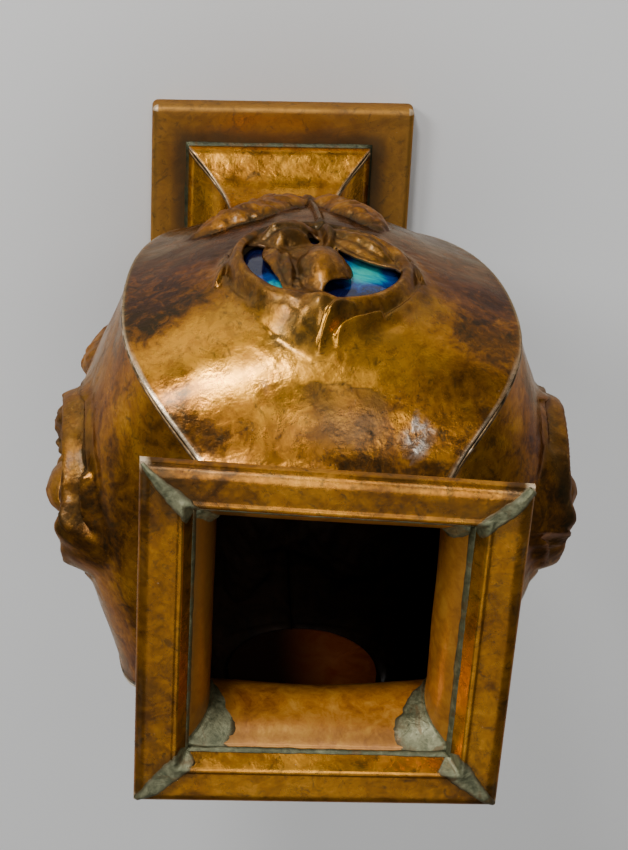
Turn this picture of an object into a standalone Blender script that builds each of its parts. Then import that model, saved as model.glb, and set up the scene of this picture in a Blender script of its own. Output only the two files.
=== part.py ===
"""Square vase of patinated sheet copper.

Four domed panels, each with a repousse flower in a beaded ring, are soldered at the corners, stand on a
tray-shaped plinth and carry a mitred rim of moulded strip. A round enamel plaque lies behind the pierced
openings of each flower. Metres, +Z up, the front towards -Y, the plinth standing on z = 0.
"""
import math
from bisect import bisect_right

import bmesh
import bpy
from mathutils import Vector
from mathutils.geometry import delaunay_2d_cdt, interpolate_bezier

# Overall sizes, in metres
HEIGHT = 0.279
SHEET = 0.001
GAP = 0.0003

# Plinth: a plate with a rounded edge and a turned-down skirt
PLINTH_WIDTH = 0.0948
PLINTH_HEIGHT = 0.0070
PLINTH_EDGE_RADIUS = 0.0022
PLINTH_EDGE_STEPS = 3

# Outer widths across the seams of the square body, and where they are reached
FOOT_WIDTH = 0.0657
FOOT_LIP = 0.0025
FOOT_SHIFT = 0.0012
ANKLE_WIDTH = 0.0360
ANKLE_HEIGHT = 0.0385
BODY_WIDTH = 0.1160
BODY_HEIGHT = 0.1976
NECK_WIDTH = 0.0638
NECK_DROP = 0.0206

# How far each span of the seam keeps its end directions, as shares of the span's height
FOOT_PULLS = (0.28, 0.56)
FOOT_FLARE_SLOPE = 1.33
BODY_PULLS = (0.10, 0.54)
SHOULDER_PULLS = (0.77, 0.38)
MOUTH_PULLS = (0.60, 0.25)
MOUTH_FLARE_SLOPE = 1.15

# Dome of each panel between its seams
DOME_RISE = 0.0161
DOME_START = 0.031
DOME_PEAK_HEIGHT = 0.1770
DOME_LOWER_POWER = 1.2
DOME_UPPER_POWERS = (2.3, 1.6)
DOME_ACROSS_POWER = 1.3

# Rim: a strip with a turned-down lip, a dished band, a ridge and an inner slope
RIM_WIDTH = 0.104
RIM_BAND = 0.0122
RIM_DISH = 0.0006
RIM_LIP = 0.0042
RIM_EDGE_RADIUS = 0.0028
RIM_RIDGE_RADIUS = 0.0012
RIM_SLOPE_RUN = 0.0024
RIM_SLOPE_DROP = 0.0053
RIM_ARC_STEPS = 3

# The rim and neck were set by hand, a little twisted and out of square. Each row is a corner's side along X
# and Y and how far the corner is shifted from the true square. The shift fades out LEAN_DEPTH below the top.
RIM_CORNER_SHIFTS = (
    (1, -1, 0.0012, -0.0029),
    (-1, -1, -0.0008, 0.0049),
    (-1, 1, 0.0019, 0.0065),
    (1, 1, 0.0018, 0.0040),
)
LEAN_DEPTH = 0.042
LEAN_EASE = 0.75

# Flower: its beaded ring, and everything in it as shares of the ring's radius
FLOWER_HEIGHT = 0.1914
RING_RADIUS = 0.0250
RING_STEPS = 31
RING_INNER = 0.90
RING_EDGE = 1.13
RING_FOOT = 0.16
RING_BEAD = 0.075
RING_EDGE_LEFT = 0.20
TIP_ANGLE = math.radians(84)
TIP_REACH = 0.27
TIP_SPREADS = (math.radians(48), math.radians(40))
TIP_SHARPNESS = 2.2
TIP_RIDGE = 0.085
TIP_RIDGE_HALF = 0.10

# Raised ovals in the ring: centre, half sizes, turn in degrees, height
BUD = ((0.00, 0.23), (0.34, 0.48), 0, 0.27)
LOBES = (
    ((0.43, -0.66), (0.48, 0.30), 27, 0.25),
    ((-0.46, -0.50), (0.54, 0.32), -41, 0.25),
    ((0.46, 0.20), (0.19, 0.53), 5, 0.15),
)
OVAL_POWER = 0.7

# Pierced openings, as outlines in the ring's own frame. The first numbers are steps along the ring's inner
# edge, counted from the tip.
CRESCENTS = (
    (range(-9, -2), ((0.45, 0.75), (0.57, 0.52), (0.645, 0.26), (0.65, -0.02), (0.60, -0.24), (0.545, -0.43))),
    (range(0, 8), ((-0.72, 0.07), (-0.48, -0.03), (-0.31, -0.20), (-0.14, -0.42), (-0.27, -0.10),
                    (-0.335, 0.13), (-0.30, 0.35), (-0.14, 0.49), (0.02, 0.62), (0.09, 0.76))),
)
EYE_CENTRE = (0.05, -0.47)
EYE_HALF = (0.065, 0.12)
EYE_STEPS = 6

# Stem: a route, a half width and a height, with a straight run below the ring and a bend in it
STEM_BASE = (-0.02, -3.45)
STEM_BEND = ((-0.02, -1.00), (-0.07, -0.82), (-0.15, -0.62), (-0.14, -0.50))
STEM_HALF = 0.09
STEM = ((STEM_BASE, *STEM_BEND), STEM_HALF, 0.10)

# Leaves: the three points of a curved midrib, the greatest half width and the height; then their scalloped
# edge, and how blunt they are in outline and in section
LEAVES = (
    (((0.05, -3.35), (0.42, -2.15), (1.32, -1.62)), 0.46, 0.19),
    (((-0.05, -3.35), (-0.66, -2.45), (-0.80, -1.28)), 0.42, 0.18),
)
LEAF_SCALLOPS = 3
LEAF_SCALLOP_DEPTH = 0.07
LEAF_BLUNTNESS = 0.55
LEAF_SECTION_POWER = 0.7
LEAF_MIDRIB_STEPS = 8

# Enamel plaque behind the openings
PLAQUE_REACH = 0.87
PLAQUE_THICKNESS = 0.0012
PLAQUE_SAG = 0.0012
PLAQUE_STEPS = 20

# Rows and columns of the panel's mesh, as shares of each span of the seam and of the half width
FOOT_ROWS = (0.10, 0.22, 0.37, 0.58)
BODY_ROWS = (0.12, 0.24, 0.35, 0.45, 0.55, 0.64, 0.73, 0.82, 0.91, 1.0)
SHOULDER_ROWS = (0.20, 0.38, 0.52, 0.64, 0.76, 0.88, 1.0)
MOUTH_ROWS = (0.30, 0.55, 0.78)
PLAIN_COLUMNS = (-0.78, -0.40, 0.0, 0.40, 0.78)
DOMED_COLUMNS = (-0.88, -0.72, -0.52, -0.28, 0.0, 0.28, 0.52, 0.72, 0.88)
PLAIN_SHOULDER_FROM = 0.9

# Distances between the free points of the panel's pattern, as shares of the ring's radius
POINT_SPACING = 0.08
OPENING_MARGIN = 0.05
MOTIF_MARGIN = 0.11
STEM_RUN_STEPS = 7

# Sizes worked out from those above
RIM_HALF = RIM_WIDTH / 2
SEAM_TOP = HEIGHT - RIM_SLOPE_DROP
NECK_HEIGHT = HEIGHT - NECK_DROP
FOOT_HEIGHT = PLINTH_HEIGHT + GAP
FLARE_HEIGHT = FOOT_HEIGHT + FOOT_LIP
MOUTH_INNER_HALF = RIM_HALF - RIM_BAND - RIM_SLOPE_RUN
MOUTH_TILT = math.atan(MOUTH_FLARE_SLOPE)
PANEL_TOP = SEAM_TOP - GAP - SHEET * math.sin(MOUTH_TILT)
MOUTH_OUTER_HALF = MOUTH_INNER_HALF + SHEET * math.cos(MOUTH_TILT)
PLAQUE_RADIUS = PLAQUE_REACH * RING_RADIUS

# The four sides, a quarter turn apart
SIDES = ("front", "right", "back", "left")


def smooth(share):
    """Ease from 0 to 1."""
    share = min(1.0, max(0.0, share))
    return share * share * (3 - 2 * share)


def mix(first, second, share):
    return first + (second - first) * share


def clear_scene():
    for scene_object in list(bpy.data.objects):
        bpy.data.objects.remove(scene_object, do_unlink=True)


def seam_span(start, start_slope, end, end_slope, pulls):
    """Points (height, half width) on one span of the seam; each slope is half width gained per height."""
    rise = end[0] - start[0]
    leave = Vector((start[0] + pulls[0] * rise, start[1] + pulls[0] * rise * start_slope, 0))
    arrive = Vector((end[0] - pulls[1] * rise, end[1] - pulls[1] * rise * end_slope, 0))
    points = interpolate_bezier(Vector((*start, 0)), leave, arrive, Vector((*end, 0)), 33)
    return [(point.x, point.y) for point in points]


def seam_line():
    """The whole seam from the foot's lower edge to the mouth, as rising (height, half width) points."""
    foot = (FLARE_HEIGHT, FOOT_WIDTH / 2)
    ankle = (ANKLE_HEIGHT, ANKLE_WIDTH / 2)
    widest = (BODY_HEIGHT, BODY_WIDTH / 2)
    neck = (NECK_HEIGHT, NECK_WIDTH / 2)
    mouth = (PANEL_TOP, MOUTH_OUTER_HALF)
    line = [(FOOT_HEIGHT, FOOT_WIDTH / 2)]
    line += seam_span(foot, -FOOT_FLARE_SLOPE, ankle, 0, FOOT_PULLS)
    line += seam_span(ankle, 0, widest, 0, BODY_PULLS)[1:]
    line += seam_span(widest, 0, neck, 0, SHOULDER_PULLS)[1:]
    line += seam_span(neck, 0, mouth, MOUTH_FLARE_SLOPE, MOUTH_PULLS)[1:]
    return line


SEAM = seam_line()
SEAM_HEIGHTS = [height for height, half in SEAM]


def seam_half(height):
    """Half the body's width across the seams at a height."""
    place = min(len(SEAM) - 1, max(1, bisect_right(SEAM_HEIGHTS, height)))
    low, high = SEAM[place - 1], SEAM[place]
    return mix(low[1], high[1], (height - low[0]) / (high[0] - low[0]))


def covered_half(height):
    """Half the width of a side panel, whose edges butt against the inside of the front and back panels."""
    step = SHEET
    low = max(FOOT_HEIGHT, height - step)
    high = min(PANEL_TOP, height + step)
    slope = (seam_half(high) - seam_half(low)) / (high - low)
    return seam_half(height) - (SHEET + GAP) * math.hypot(1, slope)


def dome_rise(height):
    """How far a panel's middle stands out from its seams."""
    if height <= DOME_START or height >= NECK_HEIGHT:
        return 0.0
    if height < DOME_PEAK_HEIGHT:
        share = (height - DOME_START) / (DOME_PEAK_HEIGHT - DOME_START)
        return DOME_RISE * math.sin(share * math.pi / 2) ** DOME_LOWER_POWER
    share = (height - DOME_PEAK_HEIGHT) / (NECK_HEIGHT - DOME_PEAK_HEIGHT)
    return DOME_RISE * (1 - share ** DOME_UPPER_POWERS[0]) ** DOME_UPPER_POWERS[1]


def dome_level(across, height, half):
    """Distance of the plain domed sheet from the vase's axis."""
    share = min(1.0, abs(across) / half)
    return seam_half(height) + dome_rise(height) * math.cos(share * math.pi / 2) ** DOME_ACROSS_POWER


def ring_reach(angle):
    """The ring's outer edge, which runs up to a point above the ring, as a share of the radius."""
    turn = (angle - TIP_ANGLE + math.pi) % (2 * math.pi) - math.pi
    spread = TIP_SPREADS[0] if turn < 0 else TIP_SPREADS[1]
    tip = max(0.0, 1 - abs(turn) / spread)
    return RING_EDGE + TIP_REACH * tip ** TIP_SHARPNESS, tip


def oval_height(point, oval):
    """Height of a raised oval at a point."""
    centre, half, turn, height = oval
    turn = math.radians(turn)
    across, along = point[0] - centre[0], point[1] - centre[1]
    first = (across * math.cos(turn) + along * math.sin(turn)) / half[0]
    second = (along * math.cos(turn) - across * math.sin(turn)) / half[1]
    return height * max(0.0, 1 - first * first - second * second) ** OVAL_POWER


def nearest_on_route(point, route):
    """Distance from a point to a route, and how far along the route its nearest place is, from 0 to 1."""
    best = (math.inf, 0.0)
    for place in range(len(route) - 1):
        start, end = Vector(route[place]), Vector(route[place + 1])
        run = end - start
        share = min(1.0, max(0.0, (Vector(point) - start).dot(run) / run.length_squared))
        distance = (Vector(point) - start - run * share).length
        best = min(best, (distance, (place + share) / (len(route) - 1)))
    return best


def ridge_height(point, ridge):
    """Height of a rounded ridge along a route, such as a stem."""
    route, half, height = ridge
    distance, along = nearest_on_route(point, route)
    return height * (1 - smooth(distance / half))


def leaf_midrib(leaf):
    base, belly, tip = (Vector(point) for point in leaf[0])
    shares = [step / LEAF_MIDRIB_STEPS for step in range(LEAF_MIDRIB_STEPS + 1)]
    return [base * (1 - s) ** 2 + belly * 2 * s * (1 - s) + tip * s * s for s in shares]


def leaf_half(leaf, along):
    """Half a leaf's width at a share of its midrib, never quite nothing."""
    outline = math.sin(math.pi * mix(0.04, 0.97, along)) ** LEAF_BLUNTNESS
    scallop = 1 + LEAF_SCALLOP_DEPTH * math.cos(2 * math.pi * LEAF_SCALLOPS * along)
    return leaf[1] * outline * scallop


def leaf_height(point, leaf, midrib):
    distance, along = nearest_on_route(point, midrib)
    half = leaf_half(leaf, along)
    if distance >= half:
        return 0.0
    section = (1 - (distance / half) ** 2) ** LEAF_SECTION_POWER
    return leaf[2] * section * smooth(along * 3) * smooth((1 - along) * 3 + 0.4)


LEAF_MIDRIBS = [leaf_midrib(leaf) for leaf in LEAVES]


def ring_level(ground, crest, reach, edge, tip):
    """The outer side of the ring, which falls from its crest to its edge and then to the sheet round it."""
    if reach > edge:
        share = RING_EDGE_LEFT * (1 - smooth((reach - edge) / RING_FOOT))
    else:
        share = mix(1.0, RING_EDGE_LEFT, smooth((reach - 1) / (edge - 1)))
    ridge = TIP_RIDGE * min(1.0, 2 * tip) * (1 - smooth(abs(reach - edge) / TIP_RIDGE_HALF))
    return mix(ground, crest, share) + RING_RADIUS * ridge


def panel_level(across, height, half):
    """Distance of the finished sheet's outer face from the vase's axis."""
    ground = dome_level(across, height, half)
    point = (across / RING_RADIUS, (height - FLOWER_HEIGHT) / RING_RADIUS)
    reach = math.hypot(*point)
    edge, tip = ring_reach(math.atan2(point[1], point[0]))
    flat = dome_level(0.0, FLOWER_HEIGHT, half)
    if reach <= 1:
        level = flat + RING_RADIUS * RING_BEAD * smooth((reach - RING_INNER) / (1 - RING_INNER))
    elif reach < edge + RING_FOOT:
        level = ring_level(ground, flat + RING_RADIUS * RING_BEAD, reach, edge, tip)
    else:
        raised = max(leaf_height(point, leaf, midrib) for leaf, midrib in zip(LEAVES, LEAF_MIDRIBS))
        level = ground + RING_RADIUS * raised
    if reach < edge:
        level = max(level, flat + RING_RADIUS * max(oval_height(point, oval) for oval in (BUD, *LOBES)))
    return level + RING_RADIUS * ridge_height(point, STEM)


def leaned(x, y, z):
    """A point of the true square vase, moved to where the hand-set foot, neck and rim really are."""
    moved = Vector((x + FOOT_SHIFT * (1 - smooth(z / BODY_HEIGHT)), y, z))
    share = smooth((z - HEIGHT + LEAN_DEPTH) / (LEAN_DEPTH * LEAN_EASE))
    for side_x, side_y, shift_x, shift_y in RIM_CORNER_SHIFTS:
        weight = share * (1 + side_x * x / RIM_HALF) * (1 + side_y * y / RIM_HALF) / 4
        moved += Vector((weight * shift_x, weight * shift_y, 0))
    return moved


def turned(x, y, quarter):
    """A point turned about the vase's axis by a number of quarter turns."""
    for _ in range(quarter):
        x, y = -y, x
    return x, y


class Pattern:
    """Points and fixed edges of a panel's flat pattern, in metres across and up."""

    def __init__(self):
        self.points = []
        self.edges = []

    def add_line(self, line, closed=False):
        first = len(self.points)
        self.points.extend(line)
        count = len(line)
        self.edges += [(first + place, first + place + 1) for place in range(count - 1)]
        if closed:
            self.edges.append((first + count - 1, first))

    def add_points(self, points):
        self.points.extend(points)


def on_flower(point):
    """A place given in shares of the ring's radius, as metres across and up."""
    return (point[0] * RING_RADIUS, FLOWER_HEIGHT + point[1] * RING_RADIUS)


def step_angle(step):
    """Angle of a step along the ring, counted from its tip."""
    return TIP_ANGLE + 2 * math.pi * step / RING_STEPS


def ring_point(reach, angle):
    return (reach * math.cos(angle), reach * math.sin(angle))


def ring_angles():
    """The steps along the ring, and between them the two feet of the stem where it crosses."""
    stem_angle = math.atan2(STEM_BEND[0][1], STEM_BEND[0][0])
    angles = [step_angle(step) for step in range(RING_STEPS)]
    angles += [stem_angle - STEM_HALF, stem_angle + STEM_HALF]
    return sorted(angle % (2 * math.pi) for angle in angles)


def crescent_outline(crescent):
    steps, inner = crescent
    return [ring_point(RING_INNER, step_angle(step)) for step in steps] + list(inner)


def eye_outline():
    angles = [2 * math.pi * step / EYE_STEPS for step in range(EYE_STEPS)]
    return [(EYE_CENTRE[0] + EYE_HALF[0] * math.cos(angle), EYE_CENTRE[1] + EYE_HALF[1] * math.sin(angle))
            for angle in angles]


OPENINGS = [crescent_outline(crescent) for crescent in CRESCENTS] + [eye_outline()]


def inside_outline(point, outline):
    """Whether a point lies in a closed outline."""
    inside = False
    for place, end in enumerate(outline):
        start = outline[place - 1]
        if (start[1] > point[1]) != (end[1] > point[1]):
            crossing = mix(start[0], end[0], (point[1] - start[1]) / (end[1] - start[1]))
            inside = inside != (point[0] < crossing)
    return inside


def outline_distance(point, outline):
    return nearest_on_route(point, [*outline, outline[0]])[0]


def oval_points(oval, share, count):
    centre, half, turn, height = oval
    turn = math.radians(turn)
    points = []
    for step in range(count):
        angle = 2 * math.pi * step / count
        first = half[0] * share * math.cos(angle)
        second = half[1] * share * math.sin(angle)
        points.append((centre[0] + first * math.cos(turn) - second * math.sin(turn),
                       centre[1] + first * math.sin(turn) + second * math.cos(turn)))
    return points


def route_lines(route, half):
    """The crest and the two feet of a ridge along a route."""
    lines = [[], [], []]
    for place, point in enumerate(route):
        before, after = Vector(route[max(0, place - 1)]), Vector(route[min(len(route) - 1, place + 1)])
        run = (after - before).normalized()
        side = Vector((-run.y, run.x)) * half
        for line, share in zip(lines, (-1, 0, 1)):
            line.append(tuple(Vector(point) + side * share))
    return lines


BEND_LINES = route_lines(STEM_BEND[1:], STEM_HALF)
BEND_POINTS = [point for line in BEND_LINES for point in line]


def flower_points():
    """Free points on the flower, clear of the openings' outlines and of each other."""
    wanted = [BUD[0]] + oval_points(BUD, 0.5, 6) + oval_points(BUD, 0.85, 9)
    for lobe in LOBES[:2]:
        wanted += [lobe[0]] + oval_points(lobe, 0.6, 7) + oval_points(lobe, 1.0, 10)
    wanted += [LOBES[2][0]] + oval_points(LOBES[2], 0.75, 4)
    return [point for point in spaced(wanted, BEND_POINTS)
            if math.hypot(*point) < RING_INNER - OPENING_MARGIN and clear_of_openings(point)]


def clear_of_openings(point):
    return not any(inside_outline(point, outline) or outline_distance(point, outline) < OPENING_MARGIN
                   for outline in OPENINGS)


def spaced(points, taken):
    """The points that keep their distance from the places taken and from all those before them."""
    kept = []
    for point in points:
        if all(math.dist(point, other) >= POINT_SPACING for other in taken + kept):
            kept.append(point)
    return kept


def stem_lines():
    """The crest and the two feet of the stem's straight run below the ring."""
    top = (STEM_BEND[0][0], -(RING_EDGE + RING_FOOT + OPENING_MARGIN))
    places = [Vector(top).lerp(Vector(STEM_BASE), step / STEM_RUN_STEPS) for step in range(STEM_RUN_STEPS + 1)]
    return [[(place.x + side * STEM_HALF, place.y) for place in places] for side in (-1, 0, 1)]


def ground_points():
    """Free points on the leaves and the ring's tip."""
    wanted = []
    for leaf, midrib in zip(LEAVES, LEAF_MIDRIBS):
        for place in range(1, len(midrib)):
            before, after = midrib[place - 1], midrib[min(len(midrib) - 1, place + 1)]
            run = (after - before).normalized()
            side = Vector((-run.y, run.x)) * leaf_half(leaf, place / LEAF_MIDRIB_STEPS)
            wanted += [tuple(midrib[place] + side * share) for share in (0.0, -1.0, -0.6, 0.6, 1.0)]
        beyond = (midrib[-1] - midrib[-2]).normalized() * leaf_half(leaf, 1.0)
        wanted.append(tuple(midrib[-1] + beyond))
    outer = RING_EDGE + RING_FOOT + MOTIF_MARGIN / 2
    wanted = [point for point in wanted if math.hypot(*point) > outer]
    wanted += tip_points()
    clear = [point for point in wanted if nearest_on_route(point, STEM[0])[0] > STEM_HALF + OPENING_MARGIN]
    return spaced(clear, [])


def tip_points():
    """Free points halfway up the hollow face between the ring and its raised tip."""
    points = []
    for angle in ring_angles():
        edge, tip = ring_reach(angle)
        if tip > 0.2:
            points.append(ring_point(mix(1.0, edge - TIP_RIDGE_HALF, 0.7), angle))
            points.append(ring_point(edge + TIP_RIDGE_HALF, angle))
    return points


def near_motif(point):
    """Whether a place is taken by the motif, so that the plain rows leave it out."""
    reach = math.hypot(*point)
    edge, tip = ring_reach(math.atan2(point[1], point[0]))
    if reach < edge + RING_FOOT + MOTIF_MARGIN:
        return True
    if nearest_on_route(point, STEM[0])[0] < STEM[1] + MOTIF_MARGIN:
        return True
    for leaf, midrib in zip(LEAVES, LEAF_MIDRIBS):
        distance, along = nearest_on_route(point, midrib)
        if distance < leaf_half(leaf, along) + MOTIF_MARGIN:
            return True
    return False


def seam_rows():
    """The heights of the panel's rows, each with whether it is a plain one."""
    rows = [(FOOT_HEIGHT, True), (FLARE_HEIGHT, True)]
    rows += [(mix(FLARE_HEIGHT, ANKLE_HEIGHT, share), True) for share in FOOT_ROWS]
    rows.append((ANKLE_HEIGHT, True))
    rows += [(mix(ANKLE_HEIGHT, BODY_HEIGHT, share), False) for share in BODY_ROWS]
    rows += [(mix(BODY_HEIGHT, NECK_HEIGHT, share), share > PLAIN_SHOULDER_FROM) for share in SHOULDER_ROWS]
    rows += [(mix(NECK_HEIGHT, PANEL_TOP, share), True) for share in MOUTH_ROWS]
    rows.append((PANEL_TOP, True))
    return rows


def panel_pattern(half_at):
    """The flat pattern of one panel, with its rows, its flower and its openings."""
    pattern = Pattern()
    rows = seam_rows()
    left = [(-half_at(height), height) for height, plain in rows]
    right = [(half_at(height), height) for height, plain in rows]
    pattern.add_line(left)
    pattern.add_line(right)
    for height, plain in rows:
        half = half_at(height)
        if plain:
            pattern.add_line([(-half, height)] + [(share * half, height) for share in PLAIN_COLUMNS]
                             + [(half, height)])
            continue
        for share in DOMED_COLUMNS:
            across = share * half
            if not near_motif((across / RING_RADIUS, (height - FLOWER_HEIGHT) / RING_RADIUS)):
                pattern.add_points([(across, height)])
    for reach_of in (lambda edge: 1.0, lambda edge: edge, lambda edge: edge + RING_FOOT):
        loop = []
        for angle in ring_angles():
            edge = ring_reach(angle)[0]
            loop.append(on_flower(ring_point(reach_of(edge), angle)))
        pattern.add_line(loop, closed=True)
    inner = [ring_point(RING_INNER, angle) for angle in ring_angles()]
    pattern.add_points([on_flower(point) for point in inner if clear_of_openings(point)])
    for outline in OPENINGS:
        pattern.add_line([on_flower(point) for point in outline], closed=True)
    for line in stem_lines() + BEND_LINES:
        pattern.add_line([on_flower(point) for point in line])
    pattern.add_points([on_flower(point) for point in flower_points() + ground_points()])
    return pattern


def panel_mesh(name, quarter):
    """The outer face of one panel, raised from its flat pattern."""
    half_at = seam_half if quarter % 2 == 0 else covered_half
    pattern = panel_pattern(half_at)
    points, edges, faces, *_ = delaunay_2d_cdt(
        [Vector(point) for point in pattern.points], pattern.edges, [], 0, 0.00001)
    vertices = []
    for point in points:
        x, y = turned(point.x, -panel_level(point.x, point.y, half_at(point.y)), quarter)
        vertices.append(leaned(x, y, point.y))
    kept = []
    for face in faces:
        middle = sum((points[index] for index in face), Vector((0, 0))) / len(face)
        place = (middle.x / RING_RADIUS, (middle.y - FLOWER_HEIGHT) / RING_RADIUS)
        pierced = any(inside_outline(place, outline) for outline in OPENINGS)
        if not pierced and abs(middle.x) < half_at(middle.y):
            kept.append(face)
    mesh = bpy.data.meshes.new(name)
    mesh.from_pydata(vertices, [], kept)
    tidy = bmesh.new()
    tidy.from_mesh(mesh)
    loose = [vertex for vertex in tidy.verts if not vertex.link_faces]
    bmesh.ops.delete(tidy, geom=loose, context="VERTS")
    tidy.to_mesh(mesh)
    tidy.free()
    return mesh


def add_solidify(sheet, thickness):
    solidify = sheet.modifiers.new("Thickness", "SOLIDIFY")
    solidify.thickness = thickness
    solidify.offset = -1
    solidify.use_even_offset = True
    solidify.use_quality_normals = True


def shade(mesh, degrees=40):
    mesh.shade_smooth()
    mesh.set_sharp_from_angle(angle=math.radians(degrees))


def make_material(name, colour, metallic, roughness):
    material = bpy.data.materials.new(name)
    material.use_nodes = True
    shader = material.node_tree.nodes["Principled BSDF"]
    shader.inputs["Base Color"].default_value = (*colour, 1)
    shader.inputs["Metallic"].default_value = metallic
    shader.inputs["Roughness"].default_value = roughness
    return material


def add_object(name, mesh, collection, material):
    scene_object = bpy.data.objects.new(name, mesh)
    mesh.materials.append(material)
    collection.objects.link(scene_object)
    return scene_object


def make_panel(side, collection):
    name = f"panel_{side}"
    mesh = panel_mesh(name, SIDES.index(side))
    shade(mesh)
    copper = make_material(name, (0.42, 0.19, 0.06), 0.9, 0.32)
    panel = add_object(name, mesh, collection, copper)
    add_solidify(panel, SHEET)


def make_plinth(collection):
    """An inverted tray: a block without its underside, rounded and given the sheet's thickness."""
    shape = bmesh.new()
    bmesh.ops.create_cube(shape, size=1)
    for vertex in shape.verts:
        vertex.co = Vector((vertex.co.x * PLINTH_WIDTH, vertex.co.y * PLINTH_WIDTH,
                            (vertex.co.z + 0.5) * PLINTH_HEIGHT))
    underside = [face for face in shape.faces if face.normal.z < -0.5]
    bmesh.ops.delete(shape, geom=underside, context="FACES_ONLY")
    folded = [edge for edge in shape.edges if not edge.is_boundary]
    bmesh.ops.bevel(shape, geom=folded, offset=PLINTH_EDGE_RADIUS, segments=PLINTH_EDGE_STEPS,
                    affect="EDGES", profile=0.5)
    mesh = bpy.data.meshes.new("plinth")
    shape.to_mesh(mesh)
    shape.free()
    shade(mesh)
    copper = make_material("plinth", (0.45, 0.20, 0.05), 0.9, 0.30)
    plinth = add_object("plinth", mesh, collection, copper)
    add_solidify(plinth, SHEET)


def arc(centre, radius, start, end, steps):
    """Points on an arc, its angles in degrees."""
    angles = [math.radians(mix(start, end, step / steps)) for step in range(steps + 1)]
    return [(centre[0] + radius * math.cos(angle), centre[1] + radius * math.sin(angle)) for angle in angles]


def offset_line(line, distance):
    """A line moved sideways by the sheet's thickness, to its right as it runs."""
    moved = []
    for place, point in enumerate(line):
        runs = []
        if place > 0:
            runs.append((Vector(point) - Vector(line[place - 1])).normalized())
        if place < len(line) - 1:
            runs.append((Vector(line[place + 1]) - Vector(point)).normalized())
        sides = [Vector((run.y, -run.x)) for run in runs]
        side = sum(sides, Vector((0, 0))).normalized()
        moved.append(Vector(point) + side * distance / side.dot(sides[0]))
    return [tuple(point) for point in moved]


def rim_profile():
    """Closed section of the rim strip: distance in from the outer face, and height below the rim's top."""
    top = [(0.0, -RIM_LIP)]
    top += arc((RIM_EDGE_RADIUS, -RIM_EDGE_RADIUS), RIM_EDGE_RADIUS, 180, 90, RIM_ARC_STEPS)
    ridge_start = RIM_BAND - 2 * RIM_RIDGE_RADIUS
    top.append((mix(RIM_EDGE_RADIUS, ridge_start, 0.45), -RIM_DISH))
    top.append((ridge_start, -RIM_DISH))
    slope_angle = math.degrees(math.atan2(RIM_SLOPE_DROP, RIM_SLOPE_RUN))
    top += arc((RIM_BAND - RIM_RIDGE_RADIUS, -RIM_RIDGE_RADIUS), RIM_RIDGE_RADIUS, 110, 90 - slope_angle,
               RIM_ARC_STEPS)
    top.append((RIM_BAND + RIM_SLOPE_RUN, -RIM_SLOPE_DROP))
    under = offset_line(top, SHEET)
    last, before = under[-1], under[-2]
    share = (-RIM_SLOPE_DROP - before[1]) / (last[1] - before[1])
    under[-1] = (mix(before[0], last[0], share), -RIM_SLOPE_DROP)
    return top + under[::-1]


def cut_mitre(shape, side_x):
    """Cut one end of a strip that runs along X at the front, along its mitre."""
    slope = math.sqrt(0.5)
    cut = bmesh.ops.bisect_plane(
        shape, geom=shape.verts[:] + shape.edges[:] + shape.faces[:], dist=0.000001,
        plane_co=(-side_x * GAP * slope, 0, 0), plane_no=(side_x * slope, slope, 0), clear_outer=True)
    edges = [item for item in cut["geom_cut"] if isinstance(item, bmesh.types.BMEdge)]
    bmesh.ops.contextual_create(shape, geom=edges)


def make_rim(side, collection):
    name = f"rim_{side}"
    shape = bmesh.new()
    section = [shape.verts.new((-RIM_HALF, -(RIM_HALF - inward), HEIGHT + height))
               for inward, height in rim_profile()]
    end = shape.faces.new(section)
    swept = bmesh.ops.extrude_face_region(shape, geom=[end])["geom"]
    moved = [item for item in swept if isinstance(item, bmesh.types.BMVert)]
    bmesh.ops.translate(shape, verts=moved, vec=(RIM_WIDTH, 0, 0))
    cut_mitre(shape, 1)
    cut_mitre(shape, -1)
    for vertex in shape.verts:
        x, y = turned(vertex.co.x, vertex.co.y, SIDES.index(side))
        vertex.co = leaned(x, y, vertex.co.z)
    bmesh.ops.recalc_face_normals(shape, faces=shape.faces)
    mesh = bpy.data.meshes.new(name)
    shape.to_mesh(mesh)
    shape.free()
    shade(mesh)
    copper = make_material(name, (0.44, 0.20, 0.05), 0.9, 0.34)
    add_object(name, mesh, collection, copper)


def make_plaque(side, collection):
    """A shallow domed disc, turned about its own axis and stood up behind the flower."""
    name = f"enamel_plaque_{side}"
    quarter = SIDES.index(side)
    half_at = seam_half if quarter % 2 == 0 else covered_half
    flat = dome_level(0.0, FLOWER_HEIGHT, half_at(FLOWER_HEIGHT))
    face = flat - SHEET - GAP
    rounds = (0.0, 0.55, 1.0)
    front = [(share * PLAQUE_RADIUS, 0.0, face - PLAQUE_SAG * share ** 2) for share in rounds]
    back = [(x, y, z - PLAQUE_THICKNESS) for x, y, z in front]
    mesh = bpy.data.meshes.new(name)
    profile = front + back[::-1]
    mesh.from_pydata(profile, [(place, place + 1) for place in range(len(profile) - 1)], [])
    enamel = make_material(name, (0.02, 0.35, 0.42), 0.0, 0.15)
    plaque = add_object(name, mesh, collection, enamel)
    screw = plaque.modifiers.new("Turn", "SCREW")
    screw.steps = PLAQUE_STEPS
    screw.render_steps = PLAQUE_STEPS
    screw.use_merge_vertices = True
    screw.merge_threshold = 0.00001
    plaque.location = (0, 0, FLOWER_HEIGHT)
    plaque.rotation_euler = (math.radians(90), 0, math.radians(90) * quarter)


def main():
    clear_scene()
    collection = bpy.data.collections.new("copper_vase")
    bpy.context.scene.collection.children.link(collection)
    make_plinth(collection)
    for side in SIDES:
        make_panel(side, collection)
        make_rim(side, collection)
        make_plaque(side, collection)


main()
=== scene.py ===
"""Looks of the square copper vase: panels, rim, solder, enamel, patina, floor, light and camera."""

import math

import bmesh
import bpy
import numpy as np
from mathutils import Matrix, Vector
from mathutils.geometry import interpolate_bezier


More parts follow.
